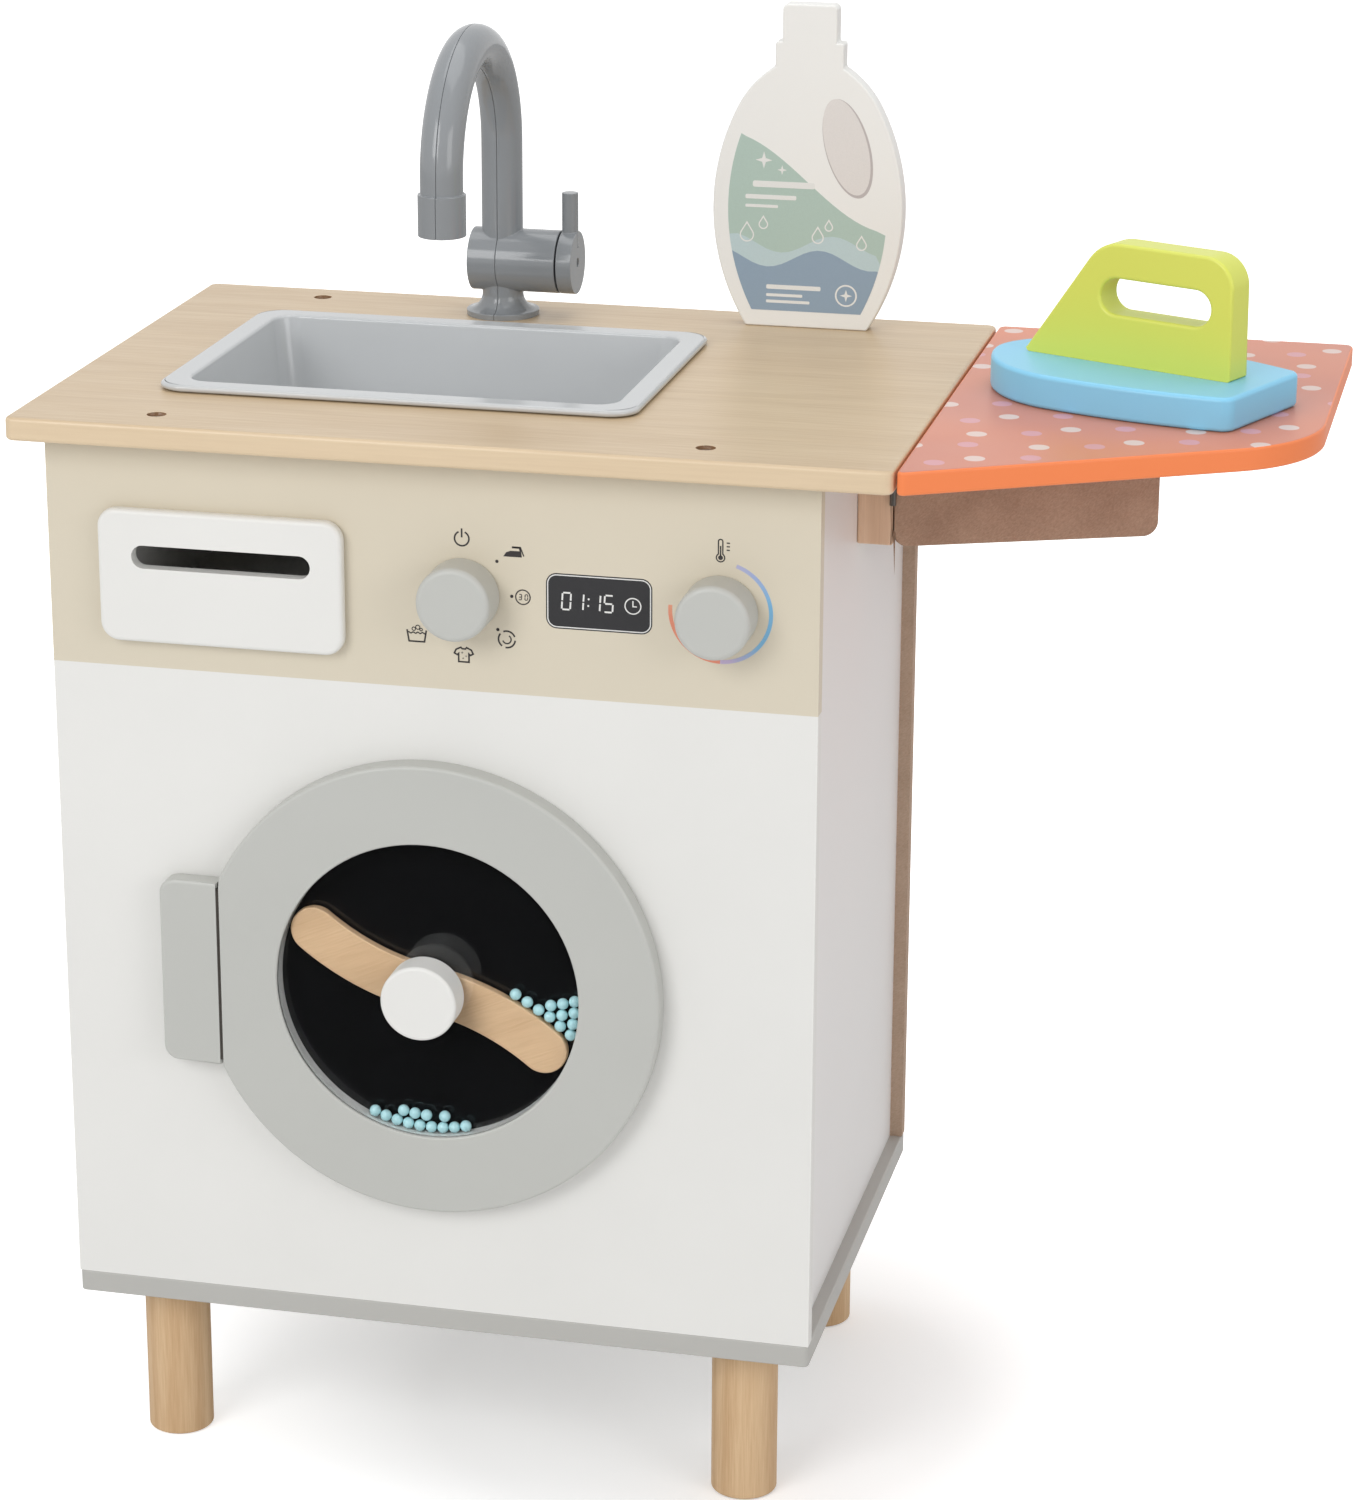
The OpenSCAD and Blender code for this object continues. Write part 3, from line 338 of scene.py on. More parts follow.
def moulded(name, color, roughness=0.28, flow=0.02, wear=0.0):
    """Injection moulded plastic: gloss that wanders, faint flow lines, paler edges if worn."""
    f = Finish(name, roughness)
    skin = f.group(SKIN, Peel=1500.0)
    tone = blend(f.tree, skin["Tone"], tinted(color, 0.97), tinted(color, 1.02))
    if wear:
        worn = f.group(WEAR, Width=0.001, Break=0.7)["Mask"]
        tone = blend(f.tree, math_node(f.tree, "MULTIPLY", worn, wear), tone, tinted(color, 1.15))
    f.color(tone)
    f.roughness(remap(f.tree, skin["Tone"], 0.0, 1.0, roughness - 0.03, roughness + 0.04))
    f.bump(skin["Height"], flow, 0.0003)
    return f


def metal(name, color, roughness):
    """Drawn metal with fine lines along x."""
    f = Finish(name, roughness, Metallic=1.0)
    drawn = noise(f.tree, vector_node(f.tree, "MULTIPLY", f.here, (0.1, 1.0, 1.0)), 3000.0, 2.0)
    f.color(blend(f.tree, drawn, tinted(color, 0.85), rgb(color)))
    f.roughness(remap(f.tree, drawn, 0.3, 0.7, roughness - 0.06, roughness + 0.12))
    f.bump(drawn, 0.05, 0.0001)
    return f


def printed(name, color, roughness=0.4):
    """Flat print on a surface, with the faint grain of its ink."""
    f = Finish(name, roughness)
    ink = noise(f.tree, f.here, 3500.0, 2.0, 0.5)
    f.color(blend(f.tree, remap(f.tree, ink, 0.3, 0.7), tinted(color, 0.95), tinted(color, 1.04)))
    return f


# Base colours that several finishes share
WHITE = (0.785, 0.78, 0.755)
BEIGE = (0.675, 0.612, 0.49)
GREY = (0.515, 0.52, 0.492)


def front_paint():
    """White paint below, beige above a straight masked line."""
    f = painted("front_paint", WHITE)
    height = add(f.tree, "ShaderNodeSeparateXYZ", Vector=f.here).outputs[2]
    line, soft = at(0, 0, BAND_Z).z, 0.08 * MM
    above = remap(f.tree, height, line - soft, line + soft)
    white = f.shader.inputs["Base Color"].links[0].from_socket
    skin = noise(f.tree, f.here, 7.0, 3.0, 0.6)
    beige = blend(f.tree, remap(f.tree, skin, 0.3, 0.7), tinted(BEIGE, 0.99), tinted(BEIGE, 1.01))
    f.color(blend(f.tree, above, white, beige))
    return f


# Screws of the worktop: to each side of the middle, in two rows, and their holes
SCREW_X = 140.5
SCREW_MID_Y, SCREW_HALF_Y = 143.5, 139.0
SCREW_HOLE_R, SCREW_FACE_DROP = 5.3, 0.15


def near_screws(f):
    """Mask that is 1 inside the four screw holes of the worktop, below its face."""
    t = f.tree
    place = vector_node(t, "SUBTRACT", f.here, tuple(at(0, SCREW_MID_Y, 0)))
    parts = add(t, "ShaderNodeSeparateXYZ", Vector=place).outputs
    dx = math_node(t, "SUBTRACT", math_node(t, "ABSOLUTE", parts[0]), SCREW_X * MM)
    dy = math_node(t, "SUBTRACT", math_node(t, "ABSOLUTE", parts[1]), SCREW_HALF_Y * MM)
    away = math_node(t, "SQRT", math_node(t, "ADD", math_node(t, "MULTIPLY", dx, dx),
                                          math_node(t, "MULTIPLY", dy, dy)))
    inside = math_node(t, "LESS_THAN", away, SCREW_HOLE_R * MM)
    below = math_node(t, "LESS_THAN", parts[2], (WORKTOP_TOP - SCREW_FACE_DROP) * MM)
    return math_node(t, "MULTIPLY", inside, below)


def facing_up(f):
    """Mask that is 1 on faces that look up, from the real face direction."""
    true = f.tree.nodes.new("ShaderNodeNewGeometry").outputs["True Normal"]
    up = add(f.tree, "ShaderNodeSeparateXYZ", Vector=true).outputs[2]
    return remap(f.tree, up, 0.4, 0.95)


def worktop_foil():
    """Pale wood-print foil with fine straight grain along the worktop, brown board in its holes; its faces
    that don't look up carry painted light, a lighter copy of the foil.
    """
    f = timber("worktop_foil", (0.62, 0.475, 0.305), (0.545, 0.40, 0.245), (0, 0, 0), 620.0, 26.0,
               0.9, 0.35, 0.34, 0.03)
    t = f.tree
    top = f.shader.inputs["Base Color"].links[0].from_socket
    # Painted light: the front edge, the sides and the other faces that don't look up get a lighter copy of
    # the foil colour
    lit = blend(t, 0.35, top, rgb((0.95, 0.78, 0.56)))
    wood = blend(t, facing_up(f), lit, top)
    f.color(blend(t, near_screws(f), wood, rgb((0.24, 0.13, 0.065))))
    f.shader.inputs["Coat Weight"].default_value = 0.12
    f.shader.inputs["Coat Roughness"].default_value = 0.25
    return f


def clear_plastic():
    """Clear sheet with faint scuffs, that lets most of the lamps' light through."""
    f = Finish("clear_plastic", 0.03, Metallic=0.0, IOR=1.45)
    f.shader.inputs["Transmission Weight"].default_value = 1.0
    f.shader.inputs["Base Color"].default_value = rgb((0.96, 0.975, 0.98))
    scuff = noise(f.tree, f.here, 25.0, 4.0, 0.6)
    f.roughness(remap(f.tree, scuff, 0.4, 0.8, 0.0, 0.02))
    shadow = f.tree.nodes.new("ShaderNodeLightPath").outputs["Is Shadow Ray"]
    plug(f.tree, f.shader.inputs["Alpha"], remap(f.tree, shadow, 0.0, 1.0, 1.0, 0.12))
    return f


def black_gloss():
    """Black plastic sheet, smooth enough to mirror the beads."""
    f = Finish("black_gloss", 0.03)
    dust = noise(f.tree, f.here, 900.0, 3.0, 0.6)
    f.color(blend(f.tree, remap(f.tree, dust, 0.74, 0.84), rgb((0.004, 0.004, 0.0045)),
                  rgb((0.014, 0.014, 0.015))))
    f.roughness(remap(f.tree, noise(f.tree, f.here, 30.0, 3.0), 0.3, 0.7, 0.02, 0.05))
    return f


# Dots of the board's print, in metres and degrees
DOT_PITCH, DOT_ROW = 0.0384, 0.0192
DOT_R, DOT_SOFT = 0.0051, 0.0001
DOT_TURN = 29.0


def board_paint():
    """Salmon print with staggered dots on top, orange paint on the edges and below."""
    f = Finish("board_paint", 0.3)
    f.shader.inputs["Specular IOR Level"].default_value = 0.25
    t = f.tree
    skin = f.group(SKIN)
    grid = f.turned(0, 0, DOT_TURN)
    parts = add(t, "ShaderNodeSeparateXYZ", Vector=grid)
    v = math_node(t, "DIVIDE", parts.outputs[1], DOT_ROW)
    row = math_node(t, "FLOOR", v)
    odd = math_node(t, "FLOORED_MODULO", row, 2.0)
    lane = math_node(t, "FLOORED_MODULO", row, 4.0)
    late = math_node(t, "GREATER_THAN", lane, 1.5)
    u = math_node(t, "DIVIDE", parts.outputs[0], DOT_PITCH)
    slid = math_node(t, "ADD", math_node(t, "MULTIPLY", odd, 0.5), math_node(t, "MULTIPLY", late, 0.25))
    u = math_node(t, "ADD", u, slid)
    du = math_node(t, "MULTIPLY", math_node(t, "SUBTRACT", math_node(t, "FRACT", u), 0.5), DOT_PITCH)
    dv = math_node(t, "MULTIPLY", math_node(t, "SUBTRACT", math_node(t, "FRACT", v), 0.5), DOT_ROW)
    near = math_node(t, "SQRT", math_node(t, "ADD", math_node(t, "MULTIPLY", du, du),
                                          math_node(t, "MULTIPLY", dv, dv)))
    dot = remap(t, near, DOT_R + DOT_SOFT, DOT_R - DOT_SOFT)
    drift = remap(t, noise(t, f.here, 9.0, 1.0, 0.4), 0.35, 0.65)
    top = blend(t, drift, rgb((0.73, 0.27, 0.165)), rgb((0.62, 0.25, 0.185)))
    dots = blend(t, odd, rgb((0.78, 0.66, 0.62)), rgb((0.70, 0.36, 0.42)))
    top = blend(t, math_node(t, "MULTIPLY", dot, 0.85), top, dots)
    up = add(t, "ShaderNodeSeparateXYZ",
             Vector=t.nodes.new("ShaderNodeNewGeometry").outputs["True Normal"]).outputs[2]
    worn = f.group(WEAR, Width=0.0015)["Mask"]
    edge = blend(t, math_node(t, "MULTIPLY", worn, 0.4), rgb((0.90, 0.245, 0.085)), rgb((0.95, 0.34, 0.15)))
    f.color(blend(t, remap(t, up, 0.85, 0.95), edge, top))
    f.roughness(remap(t, skin["Tone"], 0.0, 1.0, 0.30, 0.40))
    f.bump(skin["Height"], 0.04, 0.0003)
    return f


def make_finishes():
    """Every finish by its name."""
    return {
        "worktop_foil": worktop_foil(),
        "front_paint": front_paint(),
        "white_paint": painted("white_paint", WHITE),
        "side_paint": painted("side_paint", (0.82, 0.81, 0.80)),
        "grey_paint": painted("grey_paint", GREY, 1.15),
        "base_paint": painted("base_paint", (0.47, 0.465, 0.44), 1.15),
        "back_board": raw_board("back_board", (0.50, 0.365, 0.275), (0.38, 0.265, 0.185)),
        "bracket_board": raw_board("bracket_board", (0.46, 0.31, 0.22), (0.32, 0.20, 0.135)),
        "leg_pine": timber("leg_pine", (0.71, 0.50, 0.295), (0.56, 0.35, 0.18), (0, 90, 0),
                           1100.0, 85.0, 0.5, 0.45),
        "block_pine": timber("block_pine", (0.80, 0.57, 0.40), (0.66, 0.44, 0.29), (0, 90, 0)),
        "paddle_beech": timber("paddle_beech", (0.79, 0.545, 0.33), (0.66, 0.43, 0.245),
                               (0, 24, 0), 1300.0, 40.0, 0.5, 0.3),
        "sink_plastic": moulded("sink_plastic", (0.54, 0.555, 0.565), 0.17, 0.006),
        "tap_plastic": moulded("tap_plastic", (0.265, 0.28, 0.295), 0.14, 0.006),
        "bead_plastic": moulded("bead_plastic", (0.48, 0.78, 0.82), 0.16, 0.0),
        "spacer_plastic": moulded("spacer_plastic", (0.74, 0.74, 0.72), 0.25, 0.01),
        "clear_plastic": clear_plastic(),
        "black_gloss": black_gloss(),
        "steel": metal("steel", (0.62, 0.60, 0.56), 0.38),
        # Painted shade: the hinge leaves' steel is darkened to stand for the shade they hang in
        "painted_shade_steel": metal("painted_shade_steel", (0.16, 0.145, 0.13), 0.35),
        "board_paint": board_paint(),
        "iron_blue": painted("iron_blue", (0.24, 0.61, 0.86), 1.18, 0.36),
        "iron_lime": painted("iron_lime", (0.70, 0.745, 0.12), 1.1, 0.36),
        "bottle_white": painted("bottle_white", (0.84, 0.835, 0.81), 1.03, 0.42),
        "ink_dark": printed("ink_dark", (0.035, 0.03, 0.03)),
        "ink_display": printed("ink_display", (0.024, 0.0235, 0.026), 0.55),
        "ink_white": printed("ink_white", (0.78, 0.78, 0.76)),
        "ink_sage": printed("ink_sage", (0.43, 0.55, 0.49)),
        "ink_mist": printed("ink_mist", (0.50, 0.62, 0.64)),
        "ink_blue": printed("ink_blue", (0.27, 0.36, 0.46)),
        "ink_shade": printed("ink_shade", (0.735, 0.70, 0.675)),
        "ink_shade_dark": printed("ink_shade_dark", (0.50, 0.455, 0.45)),
    }


FINISH = make_finishes()


# Meshes

def smooth_object(name, mesh, angle=35.0):
    """Object with smooth faces, sharp only past an angle, and flat faces kept flat."""
    obj = bpy.data.objects.new(name, mesh)
    bpy.context.scene.collection.objects.link(obj)
    mesh.shade_smooth()
    mesh.set_sharp_from_angle(angle=math.radians(angle))
    weight = obj.modifiers.new("flat_faces", "WEIGHTED_NORMAL")
    weight.keep_sharp = True
    weight.weight = 100
    baked = bpy.data.meshes.new_from_object(obj.evaluated_get(bpy.context.evaluated_depsgraph_get()))
    obj.modifiers.clear()
    obj.data = baked
    return obj


def dress(obj, finish, body, slot, *nodes):
    """Gives a piece its finish, the body it rides on and the nodes it stands for; its slot is not used."""
    obj.data.materials.clear()
    obj.data.materials.append(FINISH[finish].material)
    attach(obj, body)
    if nodes:
        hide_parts(*nodes)
    return obj


def merged(node):
    """The CAD node's mesh with its triangles joined and its flat faces made whole."""
    shape = bmesh.new()
    shape.from_mesh(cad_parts[node].data)
    bmesh.ops.remove_doubles(shape, verts=shape.verts, dist=0.03 * MM)
    bmesh.ops.dissolve_limit(shape, angle_limit=math.radians(0.15), verts=shape.verts,
                             edges=shape.edges)
    return shape


def softened(node, width, finish, body, slot, where=None, steps=3):
    """Replaces a node by a copy with its sharp edges rounded to a radius in millimetres."""
    shape = merged(node)
    if width:
        sharp = [e for e in shape.edges
                 if len(e.link_faces) == 2 and e.calc_face_angle(0) > math.radians(30)
                 and (where is None or where((e.verts[0].co + e.verts[1].co) / 2 - SHIFT))]
        bmesh.ops.bevel(shape, geom=sharp, offset=width * MM, offset_type="OFFSET",
                        segments=steps, profile=0.5, affect="EDGES", clamp_overlap=False)
    mesh = bpy.data.meshes.new(node + "_soft")
    shape.to_mesh(mesh)
    shape.free()
    return dress(smooth_object(node + "_soft", mesh), finish, body, slot, node)


def loft(name, rings, close_start=True, close_end=True):
    """Skin through closed rings that have the same number of points."""
    shape = bmesh.new()
    rows = [[shape.verts.new(p) for p in ring] for ring in rings]
    for a, b in zip(rows, rows[1:]):
        for i in range(len(a)):
            j = (i + 1) % len(a)
            shape.faces.new((a[i], a[j], b[j], b[i]))
    if close_start:
        shape.faces.new(list(reversed(rows[0])))
    if close_end:
        shape.faces.new(rows[-1])
    bmesh.ops.recalc_face_normals(shape, faces=shape.faces)
    mesh = bpy.data.meshes.new(name)
    shape.to_mesh(mesh)
    shape.free()
    return mesh


def arc(radius, start, end, steps, centre=(0.0, 0.0)):
    """Points on a circle, angles in degrees."""
    turns = [math.radians(start + (end - start) * i / steps) for i in range(steps + 1)]
    return [(centre[0] + radius * math.cos(a), centre[1] + radius * math.sin(a)) for a in turns]


def rounded_rect(w, d, r, steps=10):
    pts = []
    for sx, sy, start in ((1, 1, 0), (-1, 1, 90), (-1, -1, 180), (1, -1, 270)):
        pts += arc(r, start, start + 90, steps, (sx * (w / 2 - r), sy * (d / 2 - r)))
    return pts


# Sink: its place and outer size, the rim's rise over the worktop and width, the walls' draft
# and thickness, the sweep into the floor and the round edges
SINK_X, SINK_Y = -32.0, 140.0
SINK_W, SINK_D, SINK_H = 252.0, 182.0, 54.0
SINK_RISE, SINK_RIM, RIM_DROP = 4.05, 13.0, 3.9
SINK_DRAFT, SINK_WALL, SINK_SWEEP = 6.0, 2.0, 9.0
LIP_R, BASIN_EDGE_R = 1.8, 1.6
LIP_CORNER, RIM_CORNER, EDGE_CORNER, BASIN_CORNER, FLOOR_CORNER = 14, 13, 12.5, 12, 4


def swept(step, end=90):
    """Cosine and sine of the turns from 0 up to an end in degrees."""
    return [(math.cos(math.radians(a)), math.sin(math.radians(a))) for a in range(0, end + 1, step)]


def make_sink():
    """Rim with a soft edge, drafted walls that sweep into a flat floor, thin underside."""
    top = WORKTOP_TOP + SINK_RISE
    floor = top - SINK_H
    foot = SINK_RIM + SINK_DRAFT
    rows = []

    def ring(inset, z, r):
        pts = rounded_rect(SINK_W - 2 * inset, SINK_D - 2 * inset, r)
        rows.append([at(x + SINK_X, y + SINK_Y, z) for x, y in pts])

    ring(foot + SINK_SWEEP + 24, floor, FLOOR_CORNER)
    for c, s in swept(15):
        ring(foot + SINK_SWEEP * (1 - s), floor + SINK_SWEEP * (1 - c), BASIN_CORNER)
    for share in (0.35, 0.7):
        ring(SINK_RIM + SINK_DRAFT * (1 - share), floor + SINK_SWEEP + (SINK_H - SINK_SWEEP - 2) * share,
             BASIN_CORNER)
    for c, s in swept(18):
        ring(SINK_RIM - BASIN_EDGE_R * (1 - c), top - BASIN_EDGE_R * (1 - s), EDGE_CORNER)
    ring(LIP_R, top, RIM_CORNER)
    for c, s in swept(22, 180):
        ring(LIP_R * (1 - s), top - LIP_R * (1 - c), LIP_CORNER)
    under = top - RIM_DROP
    ring(SINK_RIM - SINK_WALL, under, LIP_CORNER)
    ring(SINK_RIM - SINK_WALL, under - 3, LIP_CORNER)
    ring(foot - SINK_WALL, floor + 6, LIP_CORNER)
    ring(foot - SINK_WALL + 6, floor - SINK_WALL, BASIN_CORNER)
    dress(smooth_object("sink_shell", loft("sink_shell", rows), 50.0), "sink_plastic", "cabinet",
          "grey_plastic", "sink_basin")


# Tap: its mouldings' edges are softened above the foot
TAP_FOOT = 579.0


def make_tap():
    """Both moulded halves and the turning end with softened edges."""
    for side, node in ((-1, "faucet_left_half"), (1, "faucet_right_half")):
        softened(node, 0.4, "tap_plastic", "faucet", "tap_plastic",
                 where=lambda p: p.z > TAP_FOOT * MM, steps=2)
    softened("tap_lever", 0.4, "tap_plastic", "tap", "tap_plastic", steps=2)


# Beads: radius, distance from bead to bead, radius of the row along the chamber's wall and
# depth of their plane. Each row: rows in from the wall, angle of its first bead, how many
BEAD_R, BEAD_PITCH = 3.0, 6.2
BEAD_WALL_R, BEAD_Y = 76.6, -4.85
BALL_SEGMENTS, BALL_RINGS = 24, 14
BEAD_ROWS = ((0, -13.8, 4), (1, -11.4, 3), (2, -8.3, 2), (3, -6.0, 1), (4, -2.6, 1), (5, 1.6, 1),
             (0, -113.2, 9), (1, -102.2, 3), (1, -84.1, 1))


def bead_places():
    """Centres of the beads, row after row."""
    for row, start, count in BEAD_ROWS:
        r = BEAD_WALL_R - row * BEAD_PITCH
        for i in range(count):
            turn = math.radians(start) + 2 * i * math.asin(BEAD_PITCH / 2 / r)
            yield at(r * math.cos(turn), BEAD_Y, DOOR_Z + r * math.sin(turn))


def bead_tree():
    """Node tree that sets a sphere on every point."""
    tree = bpy.data.node_groups.new("beads_on_points", "GeometryNodeTree")
    face = tree.interface
    face.new_socket("Geometry", in_out="INPUT", socket_type="NodeSocketGeometry")
    radius = face.new_socket("Bead Radius", in_out="INPUT", socket_type="NodeSocketFloat")
    finish = face.new_socket("Finish", in_out="INPUT", socket_type="NodeSocketMaterial")
    face.new_socket("Geometry", in_out="OUTPUT", socket_type="NodeSocketGeometry")
    given = tree.nodes.new("NodeGroupInput").outputs
    ball = tree.nodes.new("GeometryNodeMeshUVSphere")
    ball.inputs["Segments"].default_value = BALL_SEGMENTS
    ball.inputs["Rings"].default_value = BALL_RINGS
    place = tree.nodes.new("GeometryNodeInstanceOnPoints")
    real = tree.nodes.new("GeometryNodeRealizeInstances")
    soft = tree.nodes.new("GeometryNodeSetShadeSmooth")
    paint = tree.nodes.new("GeometryNodeSetMaterial")
    out = tree.nodes.new("NodeGroupOutput").inputs
    link = tree.links.new
    link(given["Bead Radius"], ball.inputs["Radius"])
    link(given["Geometry"], place.inputs["Points"])
    link(ball.outputs[0], place.inputs["Instance"])
    link(place.outputs[0], real.inputs[0])
    link(real.outputs[0], soft.inputs["Geometry"])
    link(soft.outputs[0], paint.inputs["Geometry"])
    link(given["Finish"], paint.inputs["Material"])
    link(paint.outputs[0], out[0])
    return tree, radius.identifier, finish.identifier


def make_beads():
    """All beads as one piece, spheres set on points."""
    tree, radius, finish = bead_tree()
    points = bpy.data.meshes.new("bead_points")
    points.from_pydata(list(bead_places()), [], [])
    obj = bpy.data.objects.new("bead_cluster", points)
    bpy.context.scene.collection.objects.link(obj)
    maker = obj.modifiers.new("beads", "NODES")
    maker.node_group = tree
    maker[radius] = BEAD_R * MM
    maker[finish] = FINISH["bead_plastic"].material
    baked = bpy.data.meshes.new_from_object(obj.evaluated_get(bpy.context.evaluated_depsgraph_get()))
    obj.modifiers.clear()
    obj.data = baked
    dress(obj, "bead_plastic", "paddle_wheel", "bead_plastic", "beads")


# Prints: thin inked shapes on a flat face. Ink lies from just above the face up to a lift
INK_FOOT, INK = 0.01, 0.05
INK_OVER = 0.1


class Print:
    """Collects flat shapes on a plane and makes them one thin mesh."""

    def __init__(self, origin, across, up, out):
        self.origin, self.across, self.up, self.out = origin, Vector(across), Vector(up), Vector(out)
        self.shape = bmesh.new()

    def place(self, p, lift):
        x, y = p
        return self.origin + (self.across * x + self.up * y + self.out * lift) * MM

    def fill(self, pts, lift=INK):
        """Closed outline, points turning left, raised a hair off the face."""
        low = [self.shape.verts.new(self.place(p, INK_FOOT)) for p in pts]
        high = [self.shape.verts.new(self.place(p, lift)) for p in pts]
        self.shape.faces.new(high)
        self.shape.faces.new(list(reversed(low)))
        for i in range(len(pts)):
            j = (i + 1) % len(pts)
            self.shape.faces.new((low[i], low[j], high[j], high[i]))

    def stroke(self, pts, width, closed=False, lift=INK):
        """Line of even width through points, as one outline."""
        left, right = [], []
        n = len(pts)
        for i, p in enumerate(pts):
            a = Vector(pts[i - 1] if i or closed else p)
            b = Vector(pts[(i + 1) % n] if i < n - 1 or closed else p)
            p = Vector(p)
            d1, d2 = (p - a), (b - p)
            d1 = d1.normalized() if d1.length > 1e-9 else d2.normalized()
            d2 = d2.normalized() if d2.length > 1e-9 else d1
            mid = (d1 + d2).normalized()
            normal = Vector((-mid.y, mid.x))
            reach = width / 2 / max(0.35, abs(mid.dot(d1)))
            left.append(tuple(p + normal * reach))
            right.append(tuple(p - normal * reach))
        if closed:
            for i in range(n):
                j = (i + 1) % n
                self.fill([right[i], right[j], left[j], left[i]], lift)
        else:
            self.fill(right + list(reversed(left)), lift)

    def disc(self, centre, r, lift=INK, steps=24):
        self.fill(arc(r, 0, 360 - 360 / steps, steps - 1, centre), lift)

    def finish(self, name, finish, body, slot):
        """One closed mesh of all shapes so far, dressed and riding on its body."""
        bmesh.ops.recalc_face_normals(self.shape, faces=self.shape.faces)
        mesh = bpy.data.meshes.new(name)
        self.shape.to_mesh(mesh)
        self.shape.free()
        obj = bpy.data.objects.new(name, mesh)
        bpy.context.scene.collection.objects.link(obj)
        return dress(obj, finish, body, slot)


def on_front():
    """Print on the front panel, in cabinet millimetres across and up."""
    return Print(at(0, 0, 0), (1, 0, 0), (0, 0, 1), (0, -1, 0))


def shifted(pts, centre, size=1.0):
    """Points scaled, then moved to a centre."""
    return [(centre[0] + x * size, centre[1] + y * size) for x, y in pts]


SEGMENTS = {"0": "abcdef", "1": "bc", "2": "abged", "3": "abgcd", "4": "fgbc", "5": "afgcd",
            "6": "afgedc", "7": "abc", "8": "abcdefg", "9": "abcdfg"}


def seven_segment(ink, text, x, z, w, h, thick, gap=0.35, slant=0.06):
    """Digits of seven slim bars; a colon is two dots."""
    between = 1.35

    def lean(p):
        return (p[0] + (p[1] - z) * slant, p[1])

    for sign in text:
        if sign == ":":
            for dz in (0.3, 0.7):
                ink.disc(lean((x + 0.4, z + h * dz)), thick * 0.6, INK_OVER, 10)
            x += 2.0
            continue
        ends = {"a": ((gap, h), (w - gap, h)), "g": ((gap, h / 2), (w - gap, h / 2)),
                "d": ((gap, 0), (w - gap, 0)), "f": ((0, h / 2 + gap), (0, h - gap)),
                "b": ((w, h / 2 + gap), (w, h - gap)), "e": ((0, gap), (0, h / 2 - gap)),
                "c": ((w, gap), (w, h / 2 - gap))}
        for key in SEGMENTS[sign]:
            ink.stroke([lean((x + px, z + pz)) for px, pz in ends[key]], thick, lift=INK_OVER)
        x += w + thick + between


DISPLAY = (88.2, 496.7)
CLOCK = (105.4, 496.6)


def make_display():
    """Black field with a thin frame, a time and a small clock face."""
    panel = on_front()
    panel.fill(shifted(rounded_rect(54.0, 28.5, 5.5), DISPLAY))
    panel.finish("display_field", "ink_display", "cabinet", "black_plastic")
    lit = on_front()
    lit.stroke(shifted(rounded_rect(52.2, 26.7, 4.6), DISPLAY), 0.55, True, 0.08)
    seven_segment(lit, "01:15", 69.2, 492.6, 4.3, 8.6, 0.85)
    lit.stroke(arc(4.0, 0, 350, 35, CLOCK), 0.6, True, INK_OVER)
    lit.stroke(shifted([(0, 2.7), (0, -0.2), (2.0, -0.2)], CLOCK), 0.6, False, INK_OVER)
    lit.finish("display_figures", "ink_white", "cabinet", "white_paint")


# Outlines of the small signs, each round its own centre, and their two line widths
SHIRT = [(-1.6, 4.0), (-4.3, 2.7), (-5.3, 0.6), (-3.7, -0.3), (-2.9, 0.4), (-2.9, -4.2), (2.9, -4.2),
         (2.9, 0.4), (3.7, -0.3), (5.3, 0.6), (4.3, 2.7), (1.6, 4.0), (0.9, 3.2), (-0.9, 3.2)]
IRON_MARK = [(-4.9, -2.2), (4.6, -2.2), (4.0, 2.9), (-0.4, 2.9), (-0.4, 2.2), (3.2, 2.2), (3.5, 0.9),
             (-1.2, 0.9), (-3.4, 0.0)]
IRON_HEEL = [(-0.4, 2.9), (3.9, 2.9), (5.6, -1.6)]
TUB = [(-5.0, 2.4), (-4.0, -3.6), (4.0, -3.6), (5.0, 2.4)]
LINE, FINE = 0.85, 0.65


def power_mark(ink, x, z):
    """Open ring with a bar through its gap."""
    ink.stroke(arc(3.7, 115, 425, 28, (x, z)), LINE)
    ink.stroke([(x, z + 0.6), (x, z + 5.2)], LINE)


def iron_mark(ink, *centre):
    ink.fill(shifted(IRON_MARK, centre))
    ink.stroke(shifted(IRON_HEEL, centre), FINE)


def timer_mark(ink, x, z):
    """Ring with a number of minutes."""
    ink.stroke(arc(3.7, 0, 350, 35, (x, z)), FINE, True)
    seven_segment(ink, "30", x - 2.1, z - 1.4, 1.35, 2.8, 0.42, 0.1)


def spin_mark(ink, *centre):
    """Three arcs that chase each other round an open ring."""
    for start in (20, 140, 260):
        ink.stroke(arc(4.3, start, start + 95, 12, centre), LINE)
    ink.stroke(arc(2.2, 200, 420, 16, centre), 0.7)


def shirt_mark(ink, x, z):
    ink.stroke(shifted(SHIRT, (x, z), 0.92), LINE, True)
    for dx, dz, size in ((-0.8, 0.9, 0.75), (1.2, -0.8, 0.6), (-0.4, -2.0, FINE)):
        ink.fill(star((x + dx, z + dz), size))


def tub_mark(ink, x, z):
    """Open tub with water and three bubbles."""
    ink.stroke(shifted(TUB, (x, z)), LINE)
    wave = [(step / 2, 0.9 + 0.35 * math.sin(step * 1.3)) for step in range(-9, 10)]
    ink.stroke(shifted(wave, (x, z)), FINE)
    for dx, dz, r in ((-1.5, 2.9, 0.9), (0.6, 3.8, 1.1), (2.3, 2.7, 0.7)):
        ink.stroke(arc(r, 0, 330, 11, (x + dx, z + dz)), 0.5, True)


